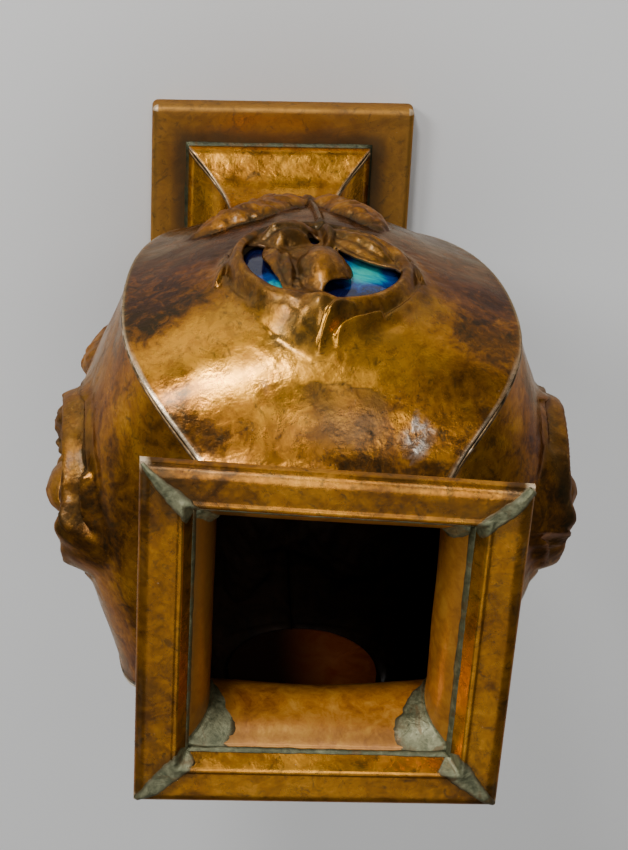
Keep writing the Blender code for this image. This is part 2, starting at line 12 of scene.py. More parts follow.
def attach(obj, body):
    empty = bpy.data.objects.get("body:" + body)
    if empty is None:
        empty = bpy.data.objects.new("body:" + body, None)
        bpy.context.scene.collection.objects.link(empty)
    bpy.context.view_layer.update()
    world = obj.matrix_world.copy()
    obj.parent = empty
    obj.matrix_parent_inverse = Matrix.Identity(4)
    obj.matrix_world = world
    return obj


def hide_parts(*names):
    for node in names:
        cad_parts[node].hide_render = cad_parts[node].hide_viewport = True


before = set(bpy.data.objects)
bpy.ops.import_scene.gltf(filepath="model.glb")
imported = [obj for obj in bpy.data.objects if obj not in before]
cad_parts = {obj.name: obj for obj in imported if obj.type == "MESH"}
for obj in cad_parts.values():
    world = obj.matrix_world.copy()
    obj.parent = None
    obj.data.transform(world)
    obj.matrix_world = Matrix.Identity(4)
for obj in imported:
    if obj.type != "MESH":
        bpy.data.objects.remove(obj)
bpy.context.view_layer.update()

# Sizes of the frame, in metres, as the CAD source gives them
HEIGHT = 0.279
SHEET = 0.001
GAP = 0.0003
PLINTH_WIDTH = 0.0948
PLINTH_HEIGHT = 0.0070
PLINTH_EDGE_RADIUS = 0.0022
FOOT_WIDTH = 0.0657
FOOT_LIP = 0.0025
FOOT_SHIFT = 0.0012
ANKLE_WIDTH = 0.0360
ANKLE_HEIGHT = 0.0385
BODY_WIDTH = 0.1160
BODY_HEIGHT = 0.1976
NECK_WIDTH = 0.0638
NECK_DROP = 0.0206
FOOT_PULLS = (0.28, 0.56)
FOOT_FLARE_SLOPE = 1.33
BODY_PULLS = (0.10, 0.54)
SHOULDER_PULLS = (0.77, 0.38)
MOUTH_PULLS = (0.60, 0.25)
MOUTH_FLARE_SLOPE = 1.15
DOME_RISE = 0.0161
DOME_START = 0.031
DOME_PEAK_HEIGHT = 0.1770
DOME_LOWER_POWER = 1.2
DOME_UPPER_POWERS = (2.3, 1.6)
DOME_ACROSS_POWER = 1.3
RIM_WIDTH = 0.104
RIM_BAND = 0.0122
RIM_LIP = 0.0042
RIM_EDGE_RADIUS = 0.0028
RIM_RIDGE_RADIUS = 0.0012
RIM_SLOPE_RUN = 0.0024
RIM_SLOPE_DROP = 0.0053
RIM_CORNER_SHIFTS = (
    (1, -1, 0.0012, -0.0029),
    (-1, -1, -0.0008, 0.0049),
    (-1, 1, 0.0019, 0.0065),
    (1, 1, 0.0018, 0.0040),
)
LEAN_DEPTH = 0.042
LEAN_EASE = 0.75
FLOWER_HEIGHT = 0.1914
RING_RADIUS = 0.0250
PLAQUE_RADIUS = 0.95 * RING_RADIUS
PLAQUE_SAG = 0.0010
PLAQUE_THICKNESS = 0.0012

RIM_HALF = RIM_WIDTH / 2
SEAM_TOP = HEIGHT - RIM_SLOPE_DROP
NECK_HEIGHT = HEIGHT - NECK_DROP
FOOT_HEIGHT = PLINTH_HEIGHT + GAP
FLARE_HEIGHT = FOOT_HEIGHT + FOOT_LIP
MOUTH_TILT = math.atan(MOUTH_FLARE_SLOPE)
PANEL_TOP = SEAM_TOP - GAP - SHEET * math.sin(MOUTH_TILT)
MOUTH_OUTER_HALF = RIM_HALF - RIM_BAND - RIM_SLOPE_RUN + SHEET * math.cos(MOUTH_TILT)

# Quarter turns of each side from the front
SIDES = {"front": 0, "right": 1, "back": 2, "left": 3}


# Numbers over arrays

def smooth(share):
    share = np.clip(share, 0.0, 1.0)
    return share * share * (3 - 2 * share)


def smooth_max(first, second, width):
    share = np.clip(0.5 + 0.5 * (first - second) / width, 0.0, 1.0)
    return second + (first - second) * share + width * share * (1 - share)


def lattice(x, y, seed):
    """Smooth noise from -1 to 1 on a seeded lattice of unit cells."""
    table = np.random.default_rng(seed).uniform(-1, 1, (64, 64))
    column, row = np.floor(x).astype(int), np.floor(y).astype(int)
    across, up = smooth(x - column), smooth(y - row)
    corners = [table[(row + b) % 64, (column + a) % 64] for b in (0, 1) for a in (0, 1)]
    low = corners[0] + (corners[1] - corners[0]) * across
    high = corners[2] + (corners[3] - corners[2]) * across
    return low + (high - low) * up


def rough(x, y, size, seed, layers=3):
    """Layered noise with features about size metres wide."""
    total = np.zeros(np.shape(x))
    for layer in range(layers):
        scale = 2 ** layer / size
        total = total + lattice(x * scale + 17.3 * layer, y * scale + 5.1 * layer, seed + layer) / 2 ** layer
    return total / (2 - 0.5 ** (layers - 1))


def wobble(x, y, seed, size=1.0):
    """The same layered noise at one place."""
    return float(rough(np.array(x), np.array(y), size, seed))


# Form of the body

def seam_span(start, start_slope, end, end_slope, pulls):
    rise = end[0] - start[0]
    leave = Vector((start[0] + pulls[0] * rise, start[1] + pulls[0] * rise * start_slope, 0))
    arrive = Vector((end[0] - pulls[1] * rise, end[1] - pulls[1] * rise * end_slope, 0))
    return [(point.x, point.y) for point in
            interpolate_bezier(Vector((*start, 0)), leave, arrive, Vector((*end, 0)), 65)]


def seam_line():
    foot, ankle = (FLARE_HEIGHT, FOOT_WIDTH / 2), (ANKLE_HEIGHT, ANKLE_WIDTH / 2)
    widest, neck = (BODY_HEIGHT, BODY_WIDTH / 2), (NECK_HEIGHT, NECK_WIDTH / 2)
    mouth = (PANEL_TOP, MOUTH_OUTER_HALF)
    line = [(FOOT_HEIGHT, FOOT_WIDTH / 2)]
    line += seam_span(foot, -FOOT_FLARE_SLOPE, ankle, 0, FOOT_PULLS)
    line += seam_span(ankle, 0, widest, 0, BODY_PULLS)[1:]
    line += seam_span(widest, 0, neck, 0, SHOULDER_PULLS)[1:]
    line += seam_span(neck, 0, mouth, MOUTH_FLARE_SLOPE, MOUTH_PULLS)[1:]
    return np.array(line)


SEAM = seam_line()


def seam_half(height):
    return np.interp(height, SEAM[:, 0], SEAM[:, 1])


def seam_stretch(height):
    """How much wider than itself the sheet is when it is measured level, because the seam slopes."""
    low, high = np.maximum(FOOT_HEIGHT, height - SHEET), np.minimum(PANEL_TOP, height + SHEET)
    return np.hypot(1, (seam_half(high) - seam_half(low)) / (high - low))


def covered_half(height):
    """Half width of a side panel, which butts against the inside of the front and the back."""
    return seam_half(height) - (SHEET + GAP) * seam_stretch(height)


def wall_half(height):
    """Half the distance between the throat's inner walls at a height."""
    return seam_half(height) - SHEET * seam_stretch(height)


def dome_rise(height):
    low = np.clip((height - DOME_START) / (DOME_PEAK_HEIGHT - DOME_START), 0, 1)
    high = np.clip((height - DOME_PEAK_HEIGHT) / (NECK_HEIGHT - DOME_PEAK_HEIGHT), 0, 1)
    lower = np.sin(low * np.pi / 2) ** DOME_LOWER_POWER
    upper = (1 - high ** DOME_UPPER_POWERS[0]) ** DOME_UPPER_POWERS[1]
    return DOME_RISE * np.where(height < DOME_PEAK_HEIGHT, lower, upper)


def dome_level(across, height, half):
    share = np.clip(np.abs(across) / half, 0, 1)
    return seam_half(height) + dome_rise(height) * np.cos(share * np.pi / 2) ** DOME_ACROSS_POWER


# Distance of the front of the dome from the axis at the flower's middle
FLOWER_LEVEL = float(dome_level(np.array(0.0), np.array(FLOWER_HEIGHT), 1.0))


def leaned(points):
    """The hand-set foot, neck and rim: points of the true square vase moved to where they really are."""
    x, y, z = points[:, 0], points[:, 1], points[:, 2]
    moved_x = x + FOOT_SHIFT * (1 - smooth(z / BODY_HEIGHT))
    moved_y = y.copy()
    share = smooth((z - HEIGHT + LEAN_DEPTH) / (LEAN_DEPTH * LEAN_EASE))
    for side_x, side_y, shift_x, shift_y in RIM_CORNER_SHIFTS:
        weight = share * (1 + side_x * x / RIM_HALF) * (1 + side_y * y / RIM_HALF) / 4
        moved_x = moved_x + weight * shift_x
        moved_y = moved_y + weight * shift_y
    return np.stack([moved_x, moved_y, z], 1)


def turned(points, quarter):
    """Points of the front moved to another side by quarter turns."""
    x, y = points[:, 0], points[:, 1]
    for _ in range(quarter):
        x, y = -y, x
    return np.stack([x, y, points[:, 2]], 1)


# The flower: its sizes are shares of the ring's radius

TIP_ANGLE = math.radians(84)
TIP_SPREADS = (math.radians(50), math.radians(42))
RING_EDGE = 1.13
RING_FOOT = 0.16
RING_BEAD = 0.075
RING_EDGE_LEFT = 0.20
BEAD_HALF = 0.085
TIP_LENGTH = 0.25
TIP_POWER = 2.2

# Raised cushions in the ring: centre, half sizes, turn in degrees, height, how square the section is
BUD = ((0.00, 0.23), (0.345, 0.49), 0, 0.270, 2.4)
PETAL = ((0.475, 0.16), (0.24, 0.56), 8, 0.120, 2.2)
LOBES = (
    ((0.43, -0.66), (0.50, 0.30), 27, 0.190, 2.2),
    ((-0.47, -0.50), (0.56, 0.31), -41, 0.180, 2.2),
)

# How the front flower lies: set in, and its lean across and up, as shares of the ring's radius
FRONT_LIE = (-0.058, 0.068, -0.014)


def curve_through(points, steps=8):
    """A smooth line through the points."""
    line = []
    for place in range(len(points) - 1):
        before = Vector(points[max(0, place - 1)])
        start, end = Vector(points[place]), Vector(points[place + 1])
        after = Vector(points[min(len(points) - 1, place + 2)])
        leave = start + (end - before) / 6
        arrive = end - (after - start) / 6
        part = interpolate_bezier(start.to_3d(), leave.to_3d(), arrive.to_3d(), end.to_3d(), steps + 1)
        line += [(point.x, point.y) for point in part[:-1]]
    return line + [tuple(points[-1])]


def arc(centre, radius, start, end, steps):
    angles = np.radians(np.linspace(start, end, steps + 1))
    return [(centre[0] + radius * math.cos(angle), centre[1] + radius * math.sin(angle)) for angle in angles]


# Two crescents and the small eye beside the stem
OPENING_REACH = 0.925
EYE_CENTRE = (0.06, -0.60)
EYE_HALF = (0.070, 0.085)
OPENINGS = (
    arc((0, 0), OPENING_REACH, -24, 53, 13)
    + curve_through([(0.475, 0.745), (0.55, 0.52), (0.635, 0.26), (0.70, 0.04), (0.685, -0.20),
                     (0.64, -0.40)])
    + [(0.73, -0.425)],
    arc((0, 0), OPENING_REACH, 85, 172, 14)
    + curve_through([(-0.89, 0.10), (-0.72, 0.06), (-0.50, -0.04), (-0.31, -0.20), (-0.13, -0.42)])[:-1]
    + curve_through([(-0.13, -0.42), (-0.28, -0.12), (-0.345, 0.13), (-0.31, 0.38), (-0.17, 0.53),
                     (-0.01, 0.64), (0.07, 0.80)]),
    [(EYE_CENTRE[0] + EYE_HALF[0] * math.cos(angle), EYE_CENTRE[1] + EYE_HALF[1] * math.sin(angle))
     for angle in np.linspace(0, 2 * math.pi, 17)[:-1]],
)

# Lines of the relief: the stem runs up over the ring into the bud's spiral
STEM = curve_through([(-0.02, -3.50), (-0.04, -2.6), (-0.06, -1.90), (-0.06, -1.30), (-0.06, -1.0),
                      (-0.09, -0.80), (-0.12, -0.62), (-0.11, -0.44), (-0.05, -0.30), (0.05, -0.25)])
SPIRAL = curve_through([(0.05, -0.25), (0.15, -0.20), (0.245, -0.05), (0.275, 0.12), (0.245, 0.28),
                        (0.215, 0.44)])
LIP = curve_through([(-0.90, 0.07), (-0.72, 0.03), (-0.50, -0.07), (-0.32, -0.23), (-0.15, -0.45)])
PETAL_FOLDS = (
    curve_through([(0.60, -0.42), (0.50, -0.20), (0.47, 0.05), (0.50, 0.30), (0.44, 0.60)]),
    curve_through([(0.38, -0.40), (0.33, -0.20), (0.36, 0.02), (0.33, 0.30), (0.36, 0.62)]),
)
LOBE_FOLDS = (
    curve_through([(0.06, -0.62), (0.28, -0.62), (0.52, -0.55), (0.80, -0.44)]),
    curve_through([(-0.20, -0.56), (-0.38, -0.42), (-0.60, -0.24), (-0.86, -0.10)]),
    curve_through([(-0.24, -0.72), (-0.46, -0.60), (-0.70, -0.38), (-0.88, -0.22)]),
)
WIRES = (
    curve_through([(0.11, 1.38), (0.05, 1.30), (-0.03, 1.19), (-0.13, 1.10), (-0.30, 1.04)]),
    curve_through([(-0.10, 1.30), (-0.22, 1.20), (-0.40, 1.12), (-0.62, 1.00)]),
)
TIP_SPINE = curve_through([(0.09, 1.06), (0.12, 1.24), (0.15, 1.46)])
TENDRILS = (
    curve_through([(1.09, -0.36), (1.12, -0.10), (1.19, 0.08), (1.24, 0.22)]),
    curve_through([(-1.08, -0.30), (-1.13, -0.10), (-1.18, 0.14)]),
)

# The line of the wires, which parts the tip's sharp ridge from its soft side: heights, and places across
WIRE_HEIGHTS = (0.95, 1.10, 1.20, 1.30, 1.42)
WIRE_PLACES = (-0.26, -0.16, -0.06, 0.04, 0.11)

# Grooves: line, half width and depth
GROOVES = (*((fold, 0.055, 0.040) for fold in PETAL_FOLDS), *((fold, 0.06, 0.036) for fold in LOBE_FOLDS))

# Raised lines round the ring: line, half width and height
RAISED_LINES = (
    (WIRES[0], 0.066, 0.090),
    (WIRES[1], 0.080, 0.100),
    (TENDRILS[0], 0.065, 0.070),
    (TENDRILS[1], 0.055, 0.055),
)
STEM_HALF = 0.085
STEM_RISE = 0.095

# Leaves: three points of the midrib, greatest half width, height
LEAVES = (
    (((0.05, -3.35), (0.42, -2.15), (1.40, -1.86)), 0.42, 0.19),
    (((-0.05, -3.35), (-0.66, -2.45), (-0.78, -1.46)), 0.40, 0.18),
)


# Farther than any place on a sheet is from a line of the relief, in shares of the ring's radius
FAR = 9.0


def near_line(x, z, line):
    """Distance to a line, and how far along it the nearest place is."""
    best, along = np.full(x.shape, FAR), np.zeros(x.shape)
    for place in range(len(line) - 1):
        (start_x, start_z), (end_x, end_z) = line[place], line[place + 1]
        run_x, run_z = end_x - start_x, end_z - start_z
        length = run_x ** 2 + run_z ** 2 + 1e-12
        share = np.clip(((x - start_x) * run_x + (z - start_z) * run_z) / length, 0, 1)
        distance = np.hypot(x - start_x - run_x * share, z - start_z - run_z * share)
        nearer = distance < best
        best = np.where(nearer, distance, best)
        along = np.where(nearer, (place + share) / (len(line) - 1), along)
    return best, along


def opening_distance(x, z):
    """Distance to the nearest opening's outline, negative inside it."""
    nearest = np.full(x.shape, FAR)
    for outline in OPENINGS:
        distance = near_line(x, z, list(outline) + [outline[0]])[0]
        inside = np.zeros(x.shape, bool)
        for place, (end_x, end_z) in enumerate(outline):
            start_x, start_z = outline[place - 1]
            if start_z == end_z:
                continue
            crossing = start_x + (end_x - start_x) * (z - start_z) / (end_z - start_z)
            inside ^= ((start_z > z) != (end_z > z)) & (x < crossing)
        nearest = np.minimum(nearest, np.where(inside, -distance, distance))
    return nearest


def cushion(x, z, shape):
    """A raised cushion of the relief, below zero outside its outline."""
    centre, half, turn, height, power = shape
    turn = math.radians(turn)
    across, along = x - centre[0], z - centre[1]
    first = (across * math.cos(turn) + along * math.sin(turn)) / half[0]
    second = (along * math.cos(turn) - across * math.sin(turn)) / half[1]
    return height * np.clip(1 - np.hypot(first, second) ** power, -1, 1)


def ridge(distance, half, height):
    """A smooth ridge along a line, from the distance to it."""
    return height * (1 - smooth(distance / half))


def tip_share(angle):
    """How near an angle round the ring is to its pointed tip, from 0 to 1."""
    turn = (angle - TIP_ANGLE + np.pi) % (2 * np.pi) - np.pi
    return np.clip(1 - np.abs(turn) / np.where(turn < 0, TIP_SPREADS[0], TIP_SPREADS[1]), 0, 1)


def leaf_relief(x, z, leaf):
    """A leaf with a sunken midrib, side veins and uneven edges."""
    (base, belly, end), widest, rise = leaf
    shares = np.linspace(0, 1, 17)
    midrib = [tuple((1 - s) ** 2 * base[axis] + 2 * s * (1 - s) * belly[axis] + s * s * end[axis]
                    for axis in (0, 1)) for s in shares]
    distance, along = near_line(x, z, midrib)
    outline = np.sin(np.pi * (0.04 + 0.93 * along)) ** 0.55
    scallops, veins = 3, 7.5
    wave = np.cos(2 * np.pi * scallops * along)
    half = widest * outline * (1 + 0.07 * wave + 0.03 * np.cos(2 * np.pi * veins * along))
    share = np.clip(distance / half, 0, 1)
    section = (1 - share ** 2.2) * (1 + 0.10 * wave * share)
    section = section - ridge(distance, 0.06, 0.16)
    from_vein = np.abs((along * veins + distance * 1.3) % 1 - 0.5)
    section = section - ridge(from_vein, 0.20, 0.17) * smooth(share * 3)
    section = section + 0.22 * rough(x, z, 0.30, 15) + 0.12 * rough(x, z, 0.10, 16, 2)
    body = rise * section * smooth(along * 3) * smooth((1 - along) * 3 + 0.4)
    return np.where(distance < half, np.maximum(body, 0), 0)


def lie_offset(x, z, lie):
    """How far a flower stands out where it is set in and tilted."""
    reach = np.maximum(1, np.hypot(x, z))
    return RING_RADIUS * (lie[0] + (lie[1] * x + lie[2] * z) / reach)


def ring_level(x, z, ground, flat):
    """The ring's bead, its fall to the dome, and its tip, sharp on one side and soft on the other."""
    reach = np.hypot(x, z)
    tip = tip_share(np.arctan2(z, x))
    crest = flat + RING_RADIUS * RING_BEAD
    edge = RING_EDGE + TIP_LENGTH * tip ** TIP_POWER
    edge_left = RING_EDGE_LEFT * (1 - 0.85 * smooth(tip * 1.6))
    wire_line = np.interp(z, WIRE_HEIGHTS, WIRE_PLACES)
    sharp = np.where(z > 0, smooth((wire_line - x) / 0.13 + 0.5), 1.0)
    sharp = np.where(x > 0.3, np.maximum(sharp, 1 - smooth(tip / 0.2)), sharp)
    share = np.where(reach > edge, edge_left * (1 - smooth((reach - edge) / RING_FOOT)),
                     1 + (edge_left - 1) * smooth((reach - 1.0) / (edge - 1)))
    sharp_side = ground + (crest - ground) * share
    crease = ridge(np.abs(reach - edge), 0.09, 0.075)
    sharp_side = sharp_side + RING_RADIUS * np.minimum(1, 2 * tip) * sharp * crease
    soft_side = ground + (crest - ground) * (1 - smooth((reach - 1.0) / (0.16 + 0.34 * tip)))
    spine, along = near_line(x, z, TIP_SPINE)
    soft_side = soft_side + RING_RADIUS * ridge(spine, 0.26, 0.075) * (1 - smooth(along))
    outside = soft_side + (sharp_side - soft_side) * sharp
    outside = outside - RING_RADIUS * ridge(np.abs(reach - 1.115), 0.045, 0.030) * (1 - tip)
    bead = RING_BEAD * np.sqrt(np.clip(1 - ((reach - 1) / BEAD_HALF) ** 2, 0, 1))
    level = np.where(reach < edge + RING_FOOT, outside, ground)
    return np.where(reach <= 1, flat + RING_RADIUS * bead, level), edge


def flower_relief(x, z):
    """Bud, petal and lobes with their folds, spiral and lip, below zero where there is none."""
    relief = np.full(x.shape, -1.0)
    for shape in (BUD, PETAL, *LOBES):
        relief = smooth_max(relief, cushion(x, z, shape), 0.035)
    corner_x, corner_z = OPENINGS[0][-1]
    relief = relief - ridge(np.hypot(x - corner_x, z - corner_z) - 0.02, 0.26, 0.16) * (relief > 0)
    spiral = near_line(x, z, SPIRAL)[0]
    detail = ridge(spiral, 0.045, 0.034) - ridge(spiral, 0.12, 0.034)
    for line, half_width, depth in GROOVES:
        detail = detail - ridge(near_line(x, z, line)[0], half_width, depth)
    detail = detail + 0.024 * rough(x, z, 0.30, 7) + 0.020 * rough(x, z, 0.12, 8, 2)
    relief = relief + detail * smooth(relief / 0.04)
    return smooth_max(relief, ridge(near_line(x, z, LIP)[0], 0.13, 0.085) - 0.01, 0.02)


def panel_level(across, height, half, lie):
    """Distance of the finished outer face from the vase's axis."""
    ground = dome_level(across, height, half)
    x, z = across / RING_RADIUS, (height - FLOWER_HEIGHT) / RING_RADIUS
    reach = np.hypot(x, z)
    flat = FLOWER_LEVEL + lie_offset(x, z, lie)
    level, edge = ring_level(x, z, ground, flat)
    relief = flower_relief(x, z)
    flower = flat + RING_RADIUS * relief * smooth((1.02 - reach) / 0.20)
    level = np.where((reach < edge) & (relief > 0), smooth_max(level, flower, RING_RADIUS * 0.03), level)
    raised = np.zeros(x.shape)
    for line, half_width, rise in RAISED_LINES:
        distance, along = near_line(x, z, line)
        raised = np.maximum(raised, ridge(distance, half_width * (0.55 + 0.45 * np.sin(np.pi * along)), rise))
    level = level + RING_RADIUS * raised
    for leaf in LEAVES:
        level = np.where(reach > 1, np.maximum(level, ground + RING_RADIUS * leaf_relief(x, z, leaf)), level)
    hammered = 0.016 * rough(x, z, 0.35, 9) + 0.008 * rough(x, z, 0.13, 10, 2)
    level = level + RING_RADIUS * hammered * (1 - smooth((reach - 1.25) / 0.5))
    over_ring = 1 - 0.6 * np.exp(-((reach - 1) / 0.08) ** 2)
    return level + RING_RADIUS * ridge(near_line(x, z, STEM)[0], STEM_HALF, STEM_RISE) * over_ring


# Meshes

def spaced(low, high, fine_low, fine_high, fine, coarse):
    """Places from low to high, closer together in the fine stretch."""
    stretches = ((low, fine_low, coarse), (fine_low, fine_high, fine), (fine_high, high, coarse))
    places = [low]
    for start, end, step in stretches:
        count = max(1, math.ceil((end - start) / step))
        places += list(np.linspace(start, end, count + 1)[1:])
    return np.array(places)


def clip_quads(x, z, quads, inside_of):
    """Cut the openings out of the flat grid. Returns points and faces, with corners on the outlines."""
    signed = inside_of(x, z)
    points = [list(x), list(z)]
    faces, crossings = [], {}
    corner_sign = signed[quads]
    kept = (corner_sign >= 0).all(1)
    mixed = ~kept & (corner_sign > 0).any(1)
    for quad in quads[mixed]:
        face = []
        for place in range(4):
            first, second = int(quad[place]), int(quad[(place + 1) % 4])
            if signed[first] >= 0:
                face.append(first)
            if signed[first] * signed[second] < 0:
                key = (min(first, second), max(first, second))
                if key not in crossings:
                    share = signed[first] / (signed[first] - signed[second])
                    crossings[key] = len(points[0])
                    for values in points:
                        values.append(values[first] + (values[second] - values[first]) * share)
                face.append(crossings[key])
        if len(face) >= 3:
            faces.append(face)
    return np.array(points[0]), np.array(points[1]), [list(map(int, quad)) for quad in quads[kept]] + faces


def make_object(name, points, faces, materials):
    """A new smooth-shaded piece from its points and faces."""
    mesh = bpy.data.meshes.new(name)
    mesh.from_pydata([tuple(point) for point in points], [], faces)
    for material in materials:
        mesh.materials.append(material)
    mesh.shade_smooth()
    piece = bpy.data.objects.new(name, mesh)
    bpy.context.scene.collection.objects.link(piece)
    return piece


def mend(piece, merge=0.0):
    """Turn all faces outwards, and merge points that are closer than merge."""
    shape = bmesh.new()
    shape.from_mesh(piece.data)
    if merge:
        bmesh.ops.remove_doubles(shape, verts=shape.verts, dist=merge)
    bmesh.ops.recalc_face_normals(shape, faces=shape.faces)
    shape.to_mesh(piece.data)
    shape.free()


def paint(piece, name, values):
    """Keep a number from 0 to 1 for each point, for the material to read."""
    attribute = piece.data.attributes.new(name, "FLOAT", "POINT")
    attribute.data.foreach_set("value", np.clip(values, 0, 1).astype(np.float32))


def fit(piece, slot, *nodes):
    """Attach a piece to the root body and hide the CAD nodes that it stands for. The slot argument is not
    used.
    """
    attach(piece, "root")
    if nodes:
        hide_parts(*nodes)
    return piece


# Patches of tone on the front sheet, partly patina and partly painted light and shade: centre across and up
# in mm, half sizes in mm, and how much more gold
FRONT_TONES = (
    ((33, 219), (20, 15), 0.75),
    # Painted shade: darkens the key light's broad reflection on the left flank
    ((45, 200), (10, 13), -0.55),
    ((18, 205), (8, 8), -0.25),
    # Painted shade: darkens the bright face left of the flower's tip
    ((12, 214), (14, 8), -0.35),
    ((-8, 226), (20, 9), 0.60),
    ((-30, 212), (14, 12), 0.20),
    ((54, 185), (12, 30), -0.55),
    ((-48, 175), (16, 34), -0.60),
    ((-46, 216), (10, 12), -0.30),
    ((0, 246), (34, 7), -0.12),
    ((42, 232), (9, 9), -0.55),
    ((28, 240), (10, 5), -0.25),
    ((22, 165), (26, 14), -0.45),
    ((-22, 160), (22, 16), -0.30),
)


# Painted shade in the hollows beside the front flower's tip, and places scuffed bare, given in the same way
FRONT_PAINTED_SHADE = (((5, 223), (6, 5), 0.9), ((12.5, 222), (4.5, 3.5), 1.3), ((-14, 221), (8, 3), 0.7))
SCUFFS = (((-25, 241.5), (4.5, 3.6), 1.0), ((18, 233), (2, 3), 0.5), ((-7, 236.5), (1, 0.8), 0.7))

# Plain tone of each sheet, from dark at 0 to gold at 1
SHEET_TONES = {"front": 0.44, "right": 0.46, "back": 0.38, "left": 0.38}

# Lines of the relief darkened with dirt and painted shade, and how far it spreads beside them
DIRT_AND_SHADE_LINES = (
    (STEM, 0.20), (SPIRAL, 0.12), (LIP, 0.14),
    *((fold, 0.10) for fold in PETAL_FOLDS), *((fold, 0.12) for fold in LOBE_FOLDS),
)
TIDE_HEIGHT = 0.2330
INSIDE_RING = 0.93


def blobs(across, height, shapes):
    """Soft round patches, added up."""
    total = np.zeros(across.shape)
    for centre, half, strength in shapes:
        distance = np.hypot((across * 1000 - centre[0]) / half[0], (height * 1000 - centre[1]) / half[1])
        total = total + strength * np.exp(-distance ** 2)
    return total


def sheet_dirt_and_shade(side, across, height, x, z, leaves):
    """Dark dirt round the flower, dirt and painted shade in its grooves and along the leaves, and painted
    shade in the hollows beside the front flower's tip.
    """
    reach = np.hypot(x, z)
    near_flower = (1 - smooth((reach - 1.05) / 0.80)) * (1 - 0.75 * smooth((z - 0.75) / 0.5))
    in_grooves = np.zeros(x.shape)
    for line, width in DIRT_AND_SHADE_LINES:
        in_grooves = np.maximum(in_grooves, ridge(near_line(x, z, line)[0] - 0.03, width, 1))
    ring_groove = ridge(np.abs(reach - 1.13) - 0.02, 0.10, 1)
    leaf_edge = smooth(leaves / 0.01) * (1 - smooth(leaves / 0.11))
    dirt_and_shade = np.maximum.reduce([0.85 * ring_groove, 0.95 * in_grooves * (reach < 1.25), 0.9 * leaf_edge,
                              0.95 * near_flower * (0.55 + 0.6 * rough(x, z, 0.45, 21))])
    return np.maximum(dirt_and_shade, blobs(across, height, FRONT_PAINTED_SHADE)) if side == "front" else dirt_and_shade


def foot_share(height):
    """1 on the flare of the foot, and 0 above it."""
    return smooth((0.060 - height) / 0.015)


def sheet_tone(side, across, height, reach, leaves):
    """Dark to golden: clouds of patina on the other sides, and on the front patches as in the photo, partly
    patina and partly painted light and shade.
    """
    tone = np.full(across.shape, SHEET_TONES[side])
    if side == "front":
        flank = smooth((0.182 - height) / 0.02) * smooth((height - 0.09) / 0.03) * (1 - smooth(leaves / 0.03))
        tone = tone + blobs(across, height, FRONT_TONES) - 0.30 * flank
    else:
        tone = tone + 0.25 * rough(across, height, 0.050, 60 + SIDES[side], 2)
    tone = tone - 0.12 * smooth((0.165 - height) / 0.05) + 0.06 * smooth(leaves / 0.12)
    return tone + 0.10 * (reach < INSIDE_RING) + 0.35 * foot_share(height)


def tide_mark(across, height):
    """A stain above a ragged waterline near the neck."""
    waterline = TIDE_HEIGHT + 0.0016 * rough(across, height * 0, 0.012, 33) \
        + 0.0008 * rough(across, height, 0.004, 34, 2)
    within = 0.014 + 0.004 * rough(across, height, 0.006, 37) - np.abs(across + 0.004)
    return smooth((height - waterline) / 0.0005 + 0.5) * smooth(within / 0.012) \
        * (1 - smooth((height - waterline - 0.002) / 0.011))


def paint_panel(piece, side, across, height, half, x, z):
    """Numbers for the sheet's material: dirt and painted shade in the hollows, tone, worked relief, tide
    mark, scuffs, and seam edges rubbed bright and painted as highlights.
    """
    reach = np.hypot(x, z)
    leaves = np.maximum(leaf_relief(x, z, LEAVES[0]), leaf_relief(x, z, LEAVES[1]))
    on_leaf = smooth(leaves / 0.05)
    paint(piece, "recess", sheet_dirt_and_shade(side, across, height, x, z, leaves))
    paint(piece, "tone", sheet_tone(side, across, height, reach, leaves))
    paint(piece, "warm", 0.42 * on_leaf + 0.30 * (reach < INSIDE_RING))
    paint(piece, "worked", np.maximum(on_leaf, 1 - smooth((reach - 1.02) / 0.16)))
    on_front = 1.0 * (side == "front")
    paint(piece, "tide", tide_mark(across, height) * on_front)
    scuff = blobs(across, height, SCUFFS) + 0.5 * rough(across, height, 0.003, 35)
    paint(piece, "scuff", smooth((scuff - 0.35) / 0.5) * on_front)
    quarter = SIDES[side]
    # Seam edges: bare where rubbed, and partly a painted highlight, stronger on the shoulder's +across side
    inset = (half - np.abs(across)) / (0.0007 + 0.0004 * smooth((height - 0.215) / 0.01))
    shoulder = smooth((height - 0.205) / 0.02)
    rub_and_glint = 0.55 - 0.25 * foot_share(height) + 0.45 * shoulder * (across > 0) \
        + 0.25 * rough(height, height * 0, 0.010, 36 + quarter)
    laid_over = quarter % 2 == 0
    paint(piece, "bright", (1 - smooth(inset - 0.3)) * rub_and_glint * laid_over)


# Grid of a panel: its rows are fine over the flower and its columns in the middle share of the width
LEAF_LOW, FLOWER_LOW, FLOWER_HIGH = 0.097, 0.160, 0.2400
LOW_STEP, HIGH_STEP = 0.0021, 0.0013
FINE_COLUMNS, LAST_COLUMN, COLUMN_STEP = 0.60, 0.97, 0.022
EDGE_COLUMN = 0.986


def lie_of(side):
    return FRONT_LIE if side == "front" else (0, 0, 0)


def thicken(piece):
    """Give a surface the sheet's thickness, inwards."""
    solid = piece.modifiers.new("Thickness", "SOLIDIFY")
    solid.thickness = SHEET
    solid.offset = -1
    return solid


def pull_to_openings(x, z, cell):
    """Move points of the grid that lie close to an opening's outline onto it."""
    close = np.hypot(x, z) < 1.0
    step = 0.001
    for _ in range(2):
        here = opening_distance(x[close], z[close])
        slope_x = (opening_distance(x[close] + step, z[close]) - here) / step
        slope_z = (opening_distance(x[close], z[close] + step) - here) / step
        steep = np.maximum(np.hypot(slope_x, slope_z), 0.4)
        pull = np.abs(here) < cell * 0.33
        x[close] -= np.where(pull, here * slope_x / steep ** 2, 0)
        z[close] -= np.where(pull, here * slope_z / steep ** 2, 0)


